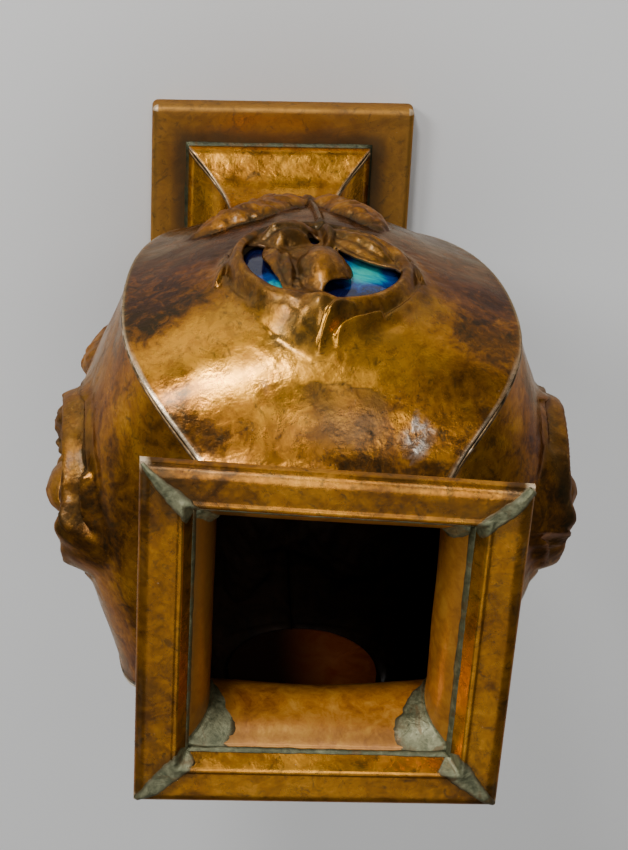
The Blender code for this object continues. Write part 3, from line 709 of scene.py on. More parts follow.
def panel_piece(side, fine, materials):
    """A domed sheet with its flower, cut openings, small dents and true thickness."""
    quarter = SIDES[side]
    half_of = seam_half if quarter % 2 == 0 else covered_half
    rows = spaced(FOOT_HEIGHT, FLOWER_LOW, LEAF_LOW, FLOWER_LOW, fine * 1.7, LOW_STEP)
    upper_rows = spaced(FLOWER_LOW, PANEL_TOP, FLOWER_LOW, FLOWER_HIGH, fine, HIGH_STEP)
    rows = np.unique(np.round(np.concatenate([rows[:-1], upper_rows]), 7))
    columns = spaced(-LAST_COLUMN, LAST_COLUMN, -FINE_COLUMNS, FINE_COLUMNS,
                     fine / (BODY_WIDTH / 2), COLUMN_STEP)
    columns = np.concatenate([[-1, -EDGE_COLUMN], columns, [EDGE_COLUMN, 1]])
    height, share = np.meshgrid(rows, columns, indexing="ij")
    across = share * half_of(height)
    index = np.arange(height.size).reshape(height.shape)
    quads = np.stack([index[:-1, :-1], index[:-1, 1:], index[1:, 1:], index[1:, :-1]], -1).reshape(-1, 4)
    x, z = across.ravel() / RING_RADIUS, (height.ravel() - FLOWER_HEIGHT) / RING_RADIUS
    cell = fine / RING_RADIUS
    pull_to_openings(x, z, cell)

    def outside_openings(x, z):
        values = np.full(x.shape, FAR)
        close = np.hypot(x, z) < 1.0
        values[close] = opening_distance(x[close], z[close])
        return np.where(np.abs(values) < cell * 0.02, 0, values)

    x, z, faces = clip_quads(x, z, quads, outside_openings)
    across, height = x * RING_RADIUS, z * RING_RADIUS + FLOWER_HEIGHT
    half = half_of(height)
    level = panel_level(across, height, half, lie_of(side))
    fade = smooth((half - np.abs(across)) / 0.006) * smooth((PANEL_TOP - height) / 0.01) \
        * smooth((height - FOOT_HEIGHT) / 0.01)
    seed = 40 + 10 * quarter
    body = smooth((height - 0.06) / 0.05)
    dents = 0.00045 * rough(across, height, 0.026, seed)
    dents = dents + 0.00016 * body * rough(across, height, 0.013, seed + 5, 1)
    dents = dents + 0.00008 * body * rough(across, height, 0.008, seed + 3, 2)
    points = leaned(turned(np.stack([across, -(level + fade * dents), height], 1), quarter))
    piece = make_object(f"panel_{side}_sheet", points, faces, materials)
    paint_panel(piece, side, across, height, half, x, z)
    shape = bmesh.new()
    shape.from_mesh(piece.data)
    bmesh.ops.delete(shape, geom=[vertex for vertex in shape.verts if not vertex.link_faces], context="VERTS")
    shape.to_mesh(piece.data)
    shape.free()
    solid = thicken(piece)
    solid.material_offset = 1
    solid.material_offset_rim = 2
    return fit(piece, "panel_copper", f"panel_{side}")


def offset_line(line, distance):
    """The same line, moved to one side by a distance."""
    moved = []
    for place, point in enumerate(line):
        runs = []
        if place > 0:
            runs.append((Vector(point) - Vector(line[place - 1])).normalized())
        if place < len(line) - 1:
            runs.append((Vector(line[place + 1]) - Vector(point)).normalized())
        sides = [Vector((run.y, -run.x)) for run in runs]
        side = sum(sides, Vector((0, 0))).normalized()
        moved.append(tuple(Vector(point) + side * distance / side.dot(sides[0])))
    return moved


# The rim's rolled outer edge, and how far its flat band is hollowed
RIM_ROLL_RUN = 0.0042
RIM_HOLLOW = 0.00035


def rim_top():
    """The rim's upper outline: distance in from the outer face, and height below the rim's top."""
    top = [(0.0, -RIM_LIP), (0.0, -(RIM_LIP + RIM_EDGE_RADIUS) / 2)]
    top += [(RIM_ROLL_RUN * (1 - math.cos(turn)), -RIM_EDGE_RADIUS * (1 - math.sin(turn)))
            for turn in np.linspace(0, math.pi / 2, 13)]
    ridge_start = RIM_BAND - 2 * RIM_RIDGE_RADIUS
    flat = np.linspace(RIM_ROLL_RUN, ridge_start, 8)[1:]
    span = ridge_start - RIM_ROLL_RUN
    top += [(place, -RIM_HOLLOW * math.sin(math.pi / 2 * (place - RIM_ROLL_RUN) / span)) for place in flat]
    slope_angle = math.degrees(math.atan2(RIM_SLOPE_DROP, RIM_SLOPE_RUN))
    top += arc((RIM_BAND - RIM_RIDGE_RADIUS, -RIM_RIDGE_RADIUS), RIM_RIDGE_RADIUS, 130, 90 - slope_angle, 8)
    start, end = top[-1], (RIM_BAND + RIM_SLOPE_RUN, -RIM_SLOPE_DROP)
    top += [(start[0] + (end[0] - start[0]) * share, start[1] + (end[1] - start[1]) * share)
            for share in (0.33, 0.66, 1.0)]
    return top


RIM_TOP = rim_top()
RIM_REACHES = np.array([point[0] for point in RIM_TOP])
RIM_HEIGHTS = np.array([point[1] for point in RIM_TOP])


def rim_level(inward):
    """Height of the rim's upper face at a distance in from its outer face."""
    return HEIGHT + np.interp(inward, RIM_REACHES[2:], RIM_HEIGHTS[2:])


def paint_rim(piece, side, along, inward):
    """Dark stains beside the mitres, tone along the strip, file marks, and corners and outer roll rubbed
    bright and painted as highlights.
    """
    quarter = SIDES[side]
    from_mitre = RIM_HALF - inward - np.abs(along)
    stain = 1 - smooth((from_mitre - 0.0045 - 0.0015 * rough(along, inward, 0.004, 70 + quarter)) / 0.004)
    stain = np.maximum(stain, 0.6 * smooth((rough(along, inward, 0.016, 75 + quarter, 4) - 0.30) / 0.25))
    paint(piece, "recess", stain * 0.75)
    tone = 0.50 + 0.20 * rough(along, inward, 0.030, 80 + quarter) + 0.18 * smooth((inward - 0.0100) / 0.0015)
    paint(piece, "tone", tone + 0.14 * (side == "left"))
    on_band = 1 - smooth((inward - 0.0105) / 0.0015)
    paint(piece, "warm", (0.15 + 0.30 * rough(along, inward, 0.040, 85 + quarter)) * on_band)
    files = 0.35 + 0.65 * smooth((0.020 - from_mitre) / 0.008)
    if side == "front":
        files = np.maximum(files, smooth((along - 0.012) / 0.01))
    paint(piece, "filed", files * smooth((inward - 0.0022) / 0.001) * smooth((0.0120 - inward) / 0.001))
    at_left_end = along < 0 if side == "front" else along > 0
    paint(piece, "file_turn", 1.0 * at_left_end * (side in ("front", "left")))
    # Corners and a line along the outer roll: bare where rubbed, and partly painted highlight
    corner = 1 - smooth((np.hypot(RIM_HALF - np.abs(along), inward) - 0.0012) / 0.0016)
    edge = 0.8 * (1 - smooth(np.abs(inward - 0.0013) / 0.0010))
    edge = edge * smooth(rough(along, inward * 0, 0.030, 88) + 0.2)
    paint(piece, "bright", np.maximum(corner, 0.35 * edge))


RIM_STEPS = 72


def rim_piece(side, materials):
    """One mitred length of the rim's moulded strip."""
    under = offset_line(RIM_TOP, SHEET)
    last, before = under[-1], under[-2]
    share = (-RIM_SLOPE_DROP - before[1]) / (last[1] - before[1])
    under[-1] = (before[0] + (last[0] - before[0]) * share, -RIM_SLOPE_DROP)
    section = np.array(RIM_TOP + under[::-1])
    inward, drop = section[:, 0], section[:, 1]
    reach = RIM_HALF - inward - GAP * 0.25
    count = len(section)
    points, faces = [], []
    for step in range(RIM_STEPS + 1):
        share = step / RIM_STEPS * 2 - 1
        along = share * reach
        dent = 0.00014 * rough(along, inward, 0.024, 90 + SIDES[side], 2) * (1 - share ** 8)
        points.append(np.stack([along, -(RIM_HALF - inward) + dent * 0.6, HEIGHT + drop + dent], 1))
    points = np.concatenate(points)
    points[:, 2] = np.minimum(points[:, 2], HEIGHT - 0.00002)
    points[:, 1] = np.maximum(points[:, 1], -RIM_HALF)
    for step in range(RIM_STEPS):
        for place in range(count):
            a, b = step * count + place, step * count + (place + 1) % count
            faces.append([a, a + count, b + count, b])
    faces += [list(range(count)), list(range(RIM_STEPS * count, (RIM_STEPS + 1) * count))[::-1]]
    piece = make_object(f"rim_{side}_strip", leaned(turned(points, SIDES[side])), faces, materials)
    paint_rim(piece, side, points[:, 0], points[:, 1] + RIM_HALF)
    mend(piece)
    piece.data.set_sharp_from_angle(angle=math.radians(50))
    return fit(piece, "rim_copper", f"rim_{side}")


def paint_plinth(piece, points):
    """Dark stain and painted shade round the foot, painted shade on the rolled edge, along the bottom of the
    skirt and under the foot, tone of the plate, and painted glints at the corners.
    """
    x, y, z = points[:, 0], points[:, 1], points[:, 2]
    out = np.maximum(np.abs(x), np.abs(y))
    from_foot = np.maximum(np.abs(x - FOOT_SHIFT), np.abs(y)) - FOOT_WIDTH / 2
    on_top = z > PLINTH_HEIGHT - 0.002
    # Round the foot: partly a dark stain, partly painted shade where the foot meets the plate
    stain = (1 - smooth((from_foot - 0.0015 * rough(x, y, 0.010, 137) - 0.0015) / 0.0065)) * on_top
    # Painted shade on the rolled edge, dulling its highlight
    rolled = smooth((out - 0.0448) / 0.0010) * (z > 0.003) * (0.6 + 0.8 * rough(x, y, 0.014, 139))
    # Painted shade under the foot
    floor_inside = 1 - smooth((from_foot + 0.0050) / 0.0025)
    # The bottom 3 mm of the skirt is painted darker as shade
    paint(piece, "recess", stain + 0.30 * rolled + 0.35 * (z < 0.003) + floor_inside)
    tone = 0.78 + 0.25 * rough(x, y, 0.03, 131) + 0.15 * smooth((out - 0.043) / 0.003)
    paint(piece, "tone", tone - 0.45 * stain - 0.75 * floor_inside)
    paint(piece, "warm", 0.08 + 0.20 * rough(x, y, 0.05, 135))
    # Painted glints at the corners of the plate
    corner = np.minimum(np.abs(x), np.abs(y)) > PLINTH_WIDTH / 2 - 0.0019
    paint(piece, "bright", 0.8 * corner * on_top)


def plinth_piece(materials):
    """The tray, with a finer rounded edge than the CAD solid's and a slightly uneven plate."""
    shape = bmesh.new()
    bmesh.ops.create_cube(shape, size=1)
    for vertex in shape.verts:
        vertex.co = Vector((vertex.co.x * PLINTH_WIDTH, vertex.co.y * PLINTH_WIDTH,
                            (vertex.co.z + 0.5) * PLINTH_HEIGHT))
    underside = [face for face in shape.faces if face.normal.z < -0.5]
    bmesh.ops.delete(shape, geom=underside, context="FACES_ONLY")
    folded = [edge for edge in shape.edges if not edge.is_boundary]
    bmesh.ops.bevel(shape, geom=folded, offset=PLINTH_EDGE_RADIUS, segments=8, affect="EDGES", profile=0.5)
    long_edges = [edge for edge in shape.edges if edge.calc_length() > 0.05]
    bmesh.ops.subdivide_edges(shape, edges=long_edges, cuts=40, use_grid_fill=True)
    piece = make_object("plinth_tray", [], [], materials)
    shape.to_mesh(piece.data)
    shape.free()
    piece.data.shade_smooth()
    points = np.array([vertex.co for vertex in piece.data.vertices])
    out = np.maximum(np.abs(points[:, 0]), np.abs(points[:, 1]))
    plate = smooth((PLINTH_WIDTH / 2 - PLINTH_EDGE_RADIUS - out) / 0.004) * (points[:, 2] > 0.005)
    points[:, 2] += plate * (0.00016 * rough(points[:, 0], points[:, 1], 0.020, 130) - 0.00016)
    piece.data.vertices.foreach_set("co", points.ravel())
    paint_plinth(piece, points)
    thicken(piece).use_even_offset = True
    return fit(piece, "plinth_copper", "plinth")


def plaque_piece(side, materials):
    """A domed enamel disc with a rolled edge and a bare copper reverse."""
    face = FLOWER_LEVEL - SHEET - GAP
    shares = list(np.linspace(0, 0.965, 22)) + [0.985, 0.997, 1.0]
    rounds = 96
    section = [(share * PLAQUE_RADIUS,
                face - PLAQUE_SAG * share ** 2 - 0.0006 * smooth((share - 0.93) / 0.07)) for share in shares]
    section += [(share * PLAQUE_RADIUS, face - PLAQUE_THICKNESS - PLAQUE_SAG * share ** 2)
                for share in (0.995, 0.97, 0.8, 0.6, 0.4, 0.2, 0.0)]
    points, faces = [], []
    for radius, out in section:
        for step in range(rounds):
            angle = 2 * math.pi * step / rounds
            across, up = radius * math.cos(angle), radius * math.sin(angle)
            out_here = out + float(lie_offset(across / RING_RADIUS, up / RING_RADIUS, lie_of(side)))
            points.append((across, -out_here, FLOWER_HEIGHT + up))
    for ring in range(len(section) - 1):
        for step in range(rounds):
            a, b = ring * rounds + step, ring * rounds + (step + 1) % rounds
            faces.append([a, b, b + rounds, a + rounds])
    points = turned(np.array(points), SIDES[side])
    piece = make_object(f"enamel_plaque_{side}_disc", points, faces, materials)
    reverse = (len(shares) - 1) * rounds
    for polygon in piece.data.polygons:
        polygon.material_index = 1 if min(polygon.vertices) >= reverse else 0
    mend(piece, merge=0.000005)
    return fit(piece, "enamel", f"enamel_plaque_{side}")


def loft(name, sections, materials, closed=False):
    """A solid through a row of closed sections."""
    count, size = len(sections), len(sections[0])
    points = np.concatenate(sections)
    faces = []
    for step in range(count if closed else count - 1):
        for place in range(size):
            following = (step + 1) % count
            a, b = step * size + place, step * size + (place + 1) % size
            c, d = following * size + (place + 1) % size, following * size + place
            faces.append([a, b, c, d])
    if not closed:
        faces.append(list(range(size)))
        faces.append(list(range((count - 1) * size, count * size))[::-1])
    piece = make_object(name, points, faces, materials)
    mend(piece)
    return piece


# The corners: signs, the solder's widths along the mitre and its spreads in the throat in mm, and a seed
CORNERS = {
    "front_right": ((1, -1), (1.2, 3.6, 5.6, 6.8), (2.4, 2.6), 11),
    "front_left": ((-1, -1), (3.0, 4.6, 4.8, 5.2), (3.0, 4.0), 12),
    "back_left": ((-1, 1), (1.6, 4.6, 6.8, 8.5), (3.2, 13.0), 13),
    "back_right": ((1, 1), (2.0, 5.2, 6.4, 6.8), (2.6, 11.5), 14),
}
THROAT_END = RIM_BAND + RIM_SLOPE_RUN

# Places across the outer face of the solder in a mitre and in the throat
LENS_PLACES, THROAT_PLACES = 13, 12


def mitre_solder(name, materials):
    """A thin lens of solder over a mitre of the rim, filed nearly flush."""
    (side_x, side_y), widths, _, seed = CORNERS[name]
    sections, margins = [], []
    for inward in np.linspace(0.0006, THROAT_END + 0.0004, 44):
        share = inward / THROAT_END
        half = np.interp(share, (0.05, 0.35, 0.7, 1.0), widths) * 0.0005
        ends = smooth(share / 0.06)
        ragged = 1 + 0.22 * wobble(share * 8.0, 0.3, seed)
        other = 1 + 0.22 * wobble(share * 8.0, 7.3, seed + 20)
        across = np.concatenate([np.linspace(-1, 1, LENS_PLACES), np.linspace(0.92, -0.92, 5)])
        offset = np.where(across < 0, across * ragged, across * other) * half * ends
        x = (RIM_HALF - inward + offset / math.sqrt(2)) * side_x
        y = (RIM_HALF - inward - offset / math.sqrt(2)) * side_y
        reach = np.clip(RIM_HALF - np.maximum(np.abs(x), np.abs(y)), 0.0004, THROAT_END + 0.0006)
        lift = 0.00022 * np.sqrt(np.clip(1 - across ** 2, 0, 1)) - 0.00004
        lift = lift + 0.00006 * rough(x, y, 0.0022, seed + 3, 2)
        lift[LENS_PLACES:] = -0.00040
        z = rim_level(reach) + lift
        sections.append(leaned(np.stack([x, y, z], 1)))
        margins.append(np.clip((np.abs(across) - 0.45) / 0.5, 0, 1))
    piece = loft(f"solder_mitre_{name}", sections, materials)
    paint(piece, "margin", np.concatenate(margins))
    return fit(piece, "rim_copper")


def throat_solder(name, materials):
    """Solder run into a corner of the throat, spread unevenly over both walls."""
    (side_x, side_y), _, (spread_side, spread_end), seed = CORNERS[name]
    sections, margins = [], []
    share = np.linspace(0, 1, THROAT_PLACES)
    thick = 0.00028 * np.sin(np.pi * share) ** 0.6 - 0.00006
    side_part, end_part = np.clip(1 - share * 2, 0, 1), np.clip(share * 2 - 1, 0, 1)
    round_off = 0.00088 * np.exp(-((share - 0.5) / 0.16) ** 2)
    for height in np.linspace(PANEL_TOP + 0.0004, 0.2420, 46):
        wall = float(wall_half(min(height, PANEL_TOP - 0.0002)))
        if height > PANEL_TOP - 0.0002:
            wall += (height - PANEL_TOP) * MOUTH_FLARE_SLOPE
        depth = (PANEL_TOP - height) / 0.03
        fade = max(0.12, 1 - 1.25 * depth) if side_y > 0 else max(0.3, 1 - 0.6 * depth)
        first = spread_side * fade * (1 + 0.30 * wobble(depth * 7, 1.3, seed + 40)) / 1000
        second = min(spread_end * fade * (1 + 0.22 * wobble(depth * 9, 4.3, seed + 60)) / 1000, wall * 0.9)
        x = wall - thick - round_off - end_part * second
        y = wall - thick - round_off - side_part * first
        x = np.append(x, [wall - second, wall + 0.0005, wall + 0.0005])
        y = np.append(y, [wall + 0.0005, wall + 0.0005, wall - first])
        points = np.stack([x * side_x, y * side_y, np.full(x.shape, height)], 1)
        unevenness = rough(x[:THROAT_PLACES], y[:THROAT_PLACES], 0.003, seed + 80)
        points[:THROAT_PLACES, 2] += 0.00020 * unevenness
        sections.append(leaned(points))
        ends = np.clip(np.abs(share - 0.5) * 2 - 0.70, 0, 1) / 0.3
        margin = np.maximum(ends, 0.9 * smooth(depth * 1.1 - 0.1))
        margins.append(np.append(margin, [1, 1, 1]))
    piece = loft(f"solder_throat_{name}", sections, materials)
    paint(piece, "margin", np.concatenate(margins))
    return fit(piece, "panel_copper")


def rim_solder(side, width, materials):
    """The run of solder between a rim strip's slope and the throat wall below it."""
    sections = []
    slope = Vector((RIM_SLOPE_RUN, -RIM_SLOPE_DROP)).normalized()
    wall = Vector((MOUTH_FLARE_SLOPE, -1)).normalized()
    fillet, back = Vector((0.00060, 0.00045)), Vector((-0.0002, -0.0009))
    for share in np.linspace(-1, 1, 90):
        swell = 1 + 0.35 * wobble(share * 9.0, 0.7, 150 + SIDES[side])
        up, down = -slope * width * 0.42 * swell, wall * width * 0.58 * swell
        line = [(1 - part) ** 2 * up + 2 * part * (1 - part) * fillet + part ** 2 * down
                for part in (step / 8 for step in range(9))] + [back]
        inward = np.array([THROAT_END + point.x for point in line])
        z = np.array([HEIGHT - RIM_SLOPE_DROP + point.y for point in line])
        x = share * (RIM_HALF - inward)
        points = np.stack([x, -(RIM_HALF - inward), z], 1)
        sections.append(leaned(turned(points, SIDES[side])))
    return fit(loft(f"solder_rim_{side}", sections, materials), "rim_copper")


def seam_bead(name, sign_x, sign_y, materials):
    """The closed joint where a side sheet butts behind the front or the back sheet."""
    heights = np.linspace(FOOT_HEIGHT + 0.0003, PANEL_TOP - 0.0003, 240)
    outer = seam_half(heights)
    inset = covered_half(heights) + GAP * 0.55 * np.hypot(1, np.gradient(outer, heights))
    centre = leaned(np.stack([(outer - 0.00022) * sign_x, inset * sign_y, heights], 1))
    run = np.gradient(centre, axis=0)
    run /= np.linalg.norm(run, axis=1)[:, None]
    side = np.cross(run, np.array([0.0, 1.0, 0.0]))
    side /= np.linalg.norm(side, axis=1)[:, None]
    up = np.cross(side, run)
    angles = np.linspace(0, 2 * math.pi, 9)[:-1]
    sections = []
    for place, height in enumerate(heights):
        radius = 0.00050 * (1 + 0.25 * wobble(height, 0.0, 170 + sign_x * 2 + sign_y, 0.006))
        sections.append(centre[place] + radius * (np.cos(angles)[:, None] * side[place]
                                                  + np.sin(angles)[:, None] * up[place]))
    return fit(loft(f"seam_{name}", sections, materials), "panel_copper")


def foot_solder(materials):
    """The line of solder round the foot, on the plinth."""
    half = FOOT_WIDTH / 2
    sections = []
    corners = ((1, -1), (1, 1), (-1, 1), (-1, -1))
    for place in range(4):
        start, end = Vector(corners[place]), Vector(corners[(place + 1) % 4])
        for step in range(30):
            middle = start.lerp(end, step / 30)
            swell = 1 + 0.3 * wobble(step / 4.0, place * 3.1, 190)
            width, rise = 0.0011 * swell, 0.0009 * swell
            grown = [(half - 0.0008, -0.0004), (half + width, -0.0004), (half + width * 0.9, 0.0001),
                     (half + width * 0.4, rise * 0.45), (half + 0.0002, rise), (half - 0.0008, rise)]
            section = [(middle.x * out + FOOT_SHIFT, middle.y * out, PLINTH_HEIGHT + up) for out, up in grown]
            sections.append(np.array(section))
    return fit(loft("solder_foot", sections, materials, closed=True), "plinth_copper")


# Materials

class Nodes:
    """Short ways to build a material's node tree."""

    def __init__(self, name):
        self.material = bpy.data.materials.new(name)
        self.material.use_nodes = True
        self.tree = self.material.node_tree
        self.place = self.add("ShaderNodeTexCoord").outputs["Object"]

    def add(self, kind, **settings):
        node = self.tree.nodes.new(kind)
        for key, value in settings.items():
            setattr(node, key, value)
        return node

    def put(self, target, value):
        """Link an output to a socket, or set the socket's own value."""
        if hasattr(value, "is_output"):
            self.tree.links.new(value, target)
        else:
            target.default_value = value

    def fill(self, node, **values):
        """Put values into a node's sockets, where From_Min means the socket From Min."""
        for name, value in values.items():
            self.put(node.inputs[name.replace("_", " ")], value)
        return node

    def finish(self, **values):
        """Fill the shader's sockets and hand the material over."""
        self.fill(self.tree.nodes["Principled BSDF"], **values)
        return self.material

    def mapped(self, offset=0.0, turn=0.0):
        node = self.fill(self.add("ShaderNodeMapping"), Vector=self.place, Location=(offset,) * 3,
                         Rotation=(0, 0, turn))
        return node.outputs["Vector"]

    def noise(self, size, detail=4, roughness=0.55, distortion=0.0, offset=0.0):
        """Clouds about size metres wide, from 0 to 1."""
        node = self.fill(self.add("ShaderNodeTexNoise"), Vector=self.mapped(offset) if offset else self.place,
                         Scale=1 / size, Detail=detail, Roughness=roughness, Distortion=distortion)
        return node.outputs["Fac"]

    def ramp(self, value, low, high, start=0.0, end=1.0):
        """A smooth step from start, where the value is low, to end, where it is high."""
        node = self.fill(self.add("ShaderNodeMapRange", interpolation_type="SMOOTHSTEP"), Value=value,
                         From_Min=low, From_Max=high, To_Min=start, To_Max=end)
        return node.outputs["Result"]

    def colours(self, value, *stops):
        node = self.fill(self.add("ShaderNodeValToRGB"), Fac=value)
        elements = node.color_ramp.elements
        while len(elements) < len(stops):
            elements.new(0.5)
        for element, (position, colour) in zip(elements, stops):
            element.position = position
            element.color = (*colour, 1)
        return node.outputs["Color"]

    def mix(self, share, first, second):
        node = self.fill(self.add("ShaderNodeMix", data_type="RGBA"), Factor=share)
        sockets = [socket for socket in node.inputs if socket.type == "RGBA"]
        for socket, value in zip(sockets, (first, second)):
            self.put(socket, (*value, 1) if isinstance(value, tuple) else value)
        return next(output for output in node.outputs if output.type == "RGBA")

    def maths(self, operation, first, second=0.0):
        node = self.add("ShaderNodeMath", operation=operation)
        self.put(node.inputs[0], first)
        self.put(node.inputs[1], second)
        return node.outputs["Value"]

    def plus(self, first, second):
        return self.maths("ADD", first, second)

    def minus(self, first, second):
        return self.maths("SUBTRACT", first, second)

    def times(self, first, second):
        return self.maths("MULTIPLY", first, second)

    def stain(self, base, colour, strength, limits, noise, where=None):
        """Colour the patches in which a noise rises between two limits."""
        share = self.ramp(self.noise(*noise), *limits, 0.0, strength)
        return self.mix(share if where is None else self.times(share, where), base, colour)

    def hatch(self, spacing, turn, seed):
        """Broken, nearly straight file marks."""
        wave = self.fill(self.add("ShaderNodeTexWave", bands_direction="Y"), Vector=self.mapped(turn=turn),
                         Scale=0.314 / spacing, Distortion=2.2, Detail=2.0, Detail_Scale=0.6)
        broken = self.ramp(self.noise(0.0030, 4, 0.65, offset=seed + 21), 0.44, 0.60)
        return self.times(self.ramp(wave.outputs["Fac"], 0.45, 0.9), broken)

    def attribute(self, name):
        return self.add("ShaderNodeAttribute", attribute_name=name).outputs["Fac"]

    def split(self):
        return self.fill(self.add("ShaderNodeSeparateXYZ"), Vector=self.place).outputs

    def bump(self, height, depth, normal=None):
        node = self.fill(self.add("ShaderNodeBump"), Height=height, Distance=depth, Strength=1.0)
        return (node if normal is None else self.fill(node, Normal=normal)).outputs["Normal"]


GOLD = (0.60, 0.265, 0.020)
OCHRE = (0.34, 0.132, 0.011)
BROWN = (0.115, 0.044, 0.008)
RUSSET = (0.30, 0.105, 0.012)
UMBER = (0.030, 0.020, 0.009)
OLIVE = (0.038, 0.030, 0.014)
DUST = (0.75, 0.62, 0.42)
PALE_VEIL = (0.29, 0.175, 0.085)
CRUST = (0.085, 0.036, 0.010)
RUBBED_AND_HIGHLIGHT = (0.62, 0.31, 0.085)
TIDE_STAIN = (0.17, 0.075, 0.022)
TIDE_LINE = (0.05, 0.03, 0.012)
SCUFF_GREY = (0.40, 0.36, 0.31)
BARE_COPPER_AND_GLINT = (0.80, 0.62, 0.40)
WARM_SHEEN = (0.60, 0.42, 0.22, 1)
FILE_SPACING = 0.00048


def patina(nodes, seed, contrast):
    """Mottled lacquered copper: the painted tone, broken up by clouds, stains, specks and dust."""
    broad = nodes.noise(0.045, 5, 0.62, 0.8, seed)
    cloud = nodes.noise(0.014, 7, 0.68, 1.6, seed + 3.1)
    fine = nodes.noise(0.0032, 6, 0.70, 0.5, seed + 7.7)
    tone = nodes.attribute("tone")
    for value, share in ((broad, 1.1), (cloud, 1.25), (fine, 0.75)):
        tone = nodes.plus(tone, nodes.times(nodes.minus(value, 0.5), share * contrast))
    base = nodes.colours(tone, (0.04, UMBER), (0.26, BROWN), (0.50, OCHRE), (0.88, GOLD))
    warm = nodes.times(nodes.attribute("warm"), nodes.ramp(cloud, 0.42, 0.56, 0.15))
    base = nodes.mix(nodes.times(warm, 0.75 * contrast), base, RUSSET)
    base = nodes.stain(base, BROWN, 0.30, (0.53, 0.60), (0.022, 6, 0.66, 2.2, seed + 15))
    base = nodes.stain(base, RUSSET, 0.42 * contrast, (0.50, 0.62), (0.0065, 6, 0.72, 1.5, seed + 19))
    base = nodes.stain(base, OLIVE, 0.60, (0.53, 0.66), (0.0050, 6, 0.74, 1.2, seed + 23))
    base = nodes.stain(base, UMBER, 0.75, (0.66, 0.74), (0.0011, 3, 0.6, 0.0, seed + 1.7))
    base = nodes.stain(base, DUST, 0.6, (0.775, 0.80), (0.0009, 2, 0.5, 0.0, seed + 27))
    return base, fine


def copper(name, seed, sheet=False, strips=False, veil=0.0):
    """Lacquered copper of the sheets, of the rim's filed strips or, under a paler veil, of the plinth."""
    nodes = Nodes(name)
    base, fine = patina(nodes, seed, 1.0 if sheet else 0.72)
    # Darkened where the recess number says: dirt and stains, and painted shade
    deep = nodes.times(nodes.attribute("recess"), nodes.ramp(fine, 0.30, 0.60, 0.55))
    base = nodes.mix(nodes.times(deep, 0.85), base, UMBER if strips else OLIVE)
    roughness = nodes.ramp(nodes.noise(0.010, 4, 0.6, 0.0, seed + 11), 0.3, 0.7, 0.18, 0.34)
    normal = nodes.bump(nodes.noise(0.0060, 4, 0.55, 0.0, seed + 5), 0.00024 if sheet else 0.00016)
    normal = nodes.bump(fine, 0.00009 if strips else 0.00008, normal)
    if veil:
        base = nodes.mix(veil, base, PALE_VEIL)
        roughness = nodes.plus(roughness, 0.26)
    if sheet:
        worked = nodes.attribute("worked")
        roughness = nodes.plus(roughness, nodes.times(worked, 0.13))
        base = nodes.stain(base, CRUST, 0.60, (0.50, 0.62), (0.0026, 6, 0.74, 1.0, seed + 31), worked)
        # Light flecks on the worked relief: partly rubbed copper, partly painted highlight
        base = nodes.stain(base, RUBBED_AND_HIGHLIGHT, 0.55, (0.50, 0.74), (0.0030, 6, 0.72, 0.3, seed + 35), worked)
        tide = nodes.attribute("tide")
        base = nodes.mix(nodes.times(tide, 0.45), base, TIDE_STAIN)
        line = nodes.times(nodes.times(tide, nodes.minus(1.0, tide)), 2.4)
        base = nodes.mix(line, base, TIDE_LINE)
        scuff = nodes.times(nodes.attribute("scuff"), nodes.ramp(fine, 0.42, 0.62, 0.1, 0.85))
        base = nodes.mix(scuff, base, SCUFF_GREY)
        pits = nodes.times(nodes.noise(0.0016, 5, 0.65, 0.4, seed + 39), worked)
        normal = nodes.bump(pits, 0.00011, normal)
    if strips:
        marks = nodes.mix(nodes.attribute("file_turn"), nodes.hatch(FILE_SPACING, 0.95, seed),
                          nodes.hatch(FILE_SPACING, -0.75, seed + 2))
        marks = nodes.times(marks, nodes.attribute("filed"))
        base = nodes.mix(nodes.times(marks, 0.42), base, UMBER)
        normal = nodes.bump(marks, 0.00005, normal)
    # Bare copper where rubbed, and painted glints and highlights, where the bright number says
    bright = nodes.times(nodes.attribute("bright"), nodes.ramp(fine, 0.30, 0.55, 0.5))
    return nodes.finish(Base_Color=nodes.mix(bright, base, BARE_COPPER_AND_GLINT), Metallic=0.78, Roughness=roughness,
                        Specular_Tint=WARM_SHEEN, Coat_Weight=0.04 if veil else 0.12, Coat_Roughness=0.16,
                        Coat_IOR=1.45, Normal=normal)


def bright_edge():
    """The filed edge of the sheet, rubbed bright and painted as a highlight in places."""
    nodes = Nodes("cut_edge")
    fine = nodes.noise(0.002, 4)
    base = nodes.colours(fine, (0.30, (0.52, 0.38, 0.22)), (0.62, (0.92, 0.80, 0.58)))
    base = nodes.mix(nodes.ramp(nodes.attribute("bright"), 0.10, 0.45), (0.11, 0.052, 0.016), base)
    return nodes.finish(Base_Color=base, Metallic=0.35, Roughness=0.40, Normal=nodes.bump(fine, 0.00008))


def seam_metal():
    """Brown, dull joint lines between the sheets."""
    nodes = Nodes("seam_joint")
    fine = nodes.noise(0.004, 5, 0.65)
    base = nodes.colours(fine, (0.35, (0.05, 0.035, 0.018)), (0.55, (0.20, 0.12, 0.05)),
                         (0.70, (0.55, 0.42, 0.28)))
    return nodes.finish(Base_Color=base, Metallic=0.8, Roughness=0.40, Normal=nodes.bump(fine, 0.00010))


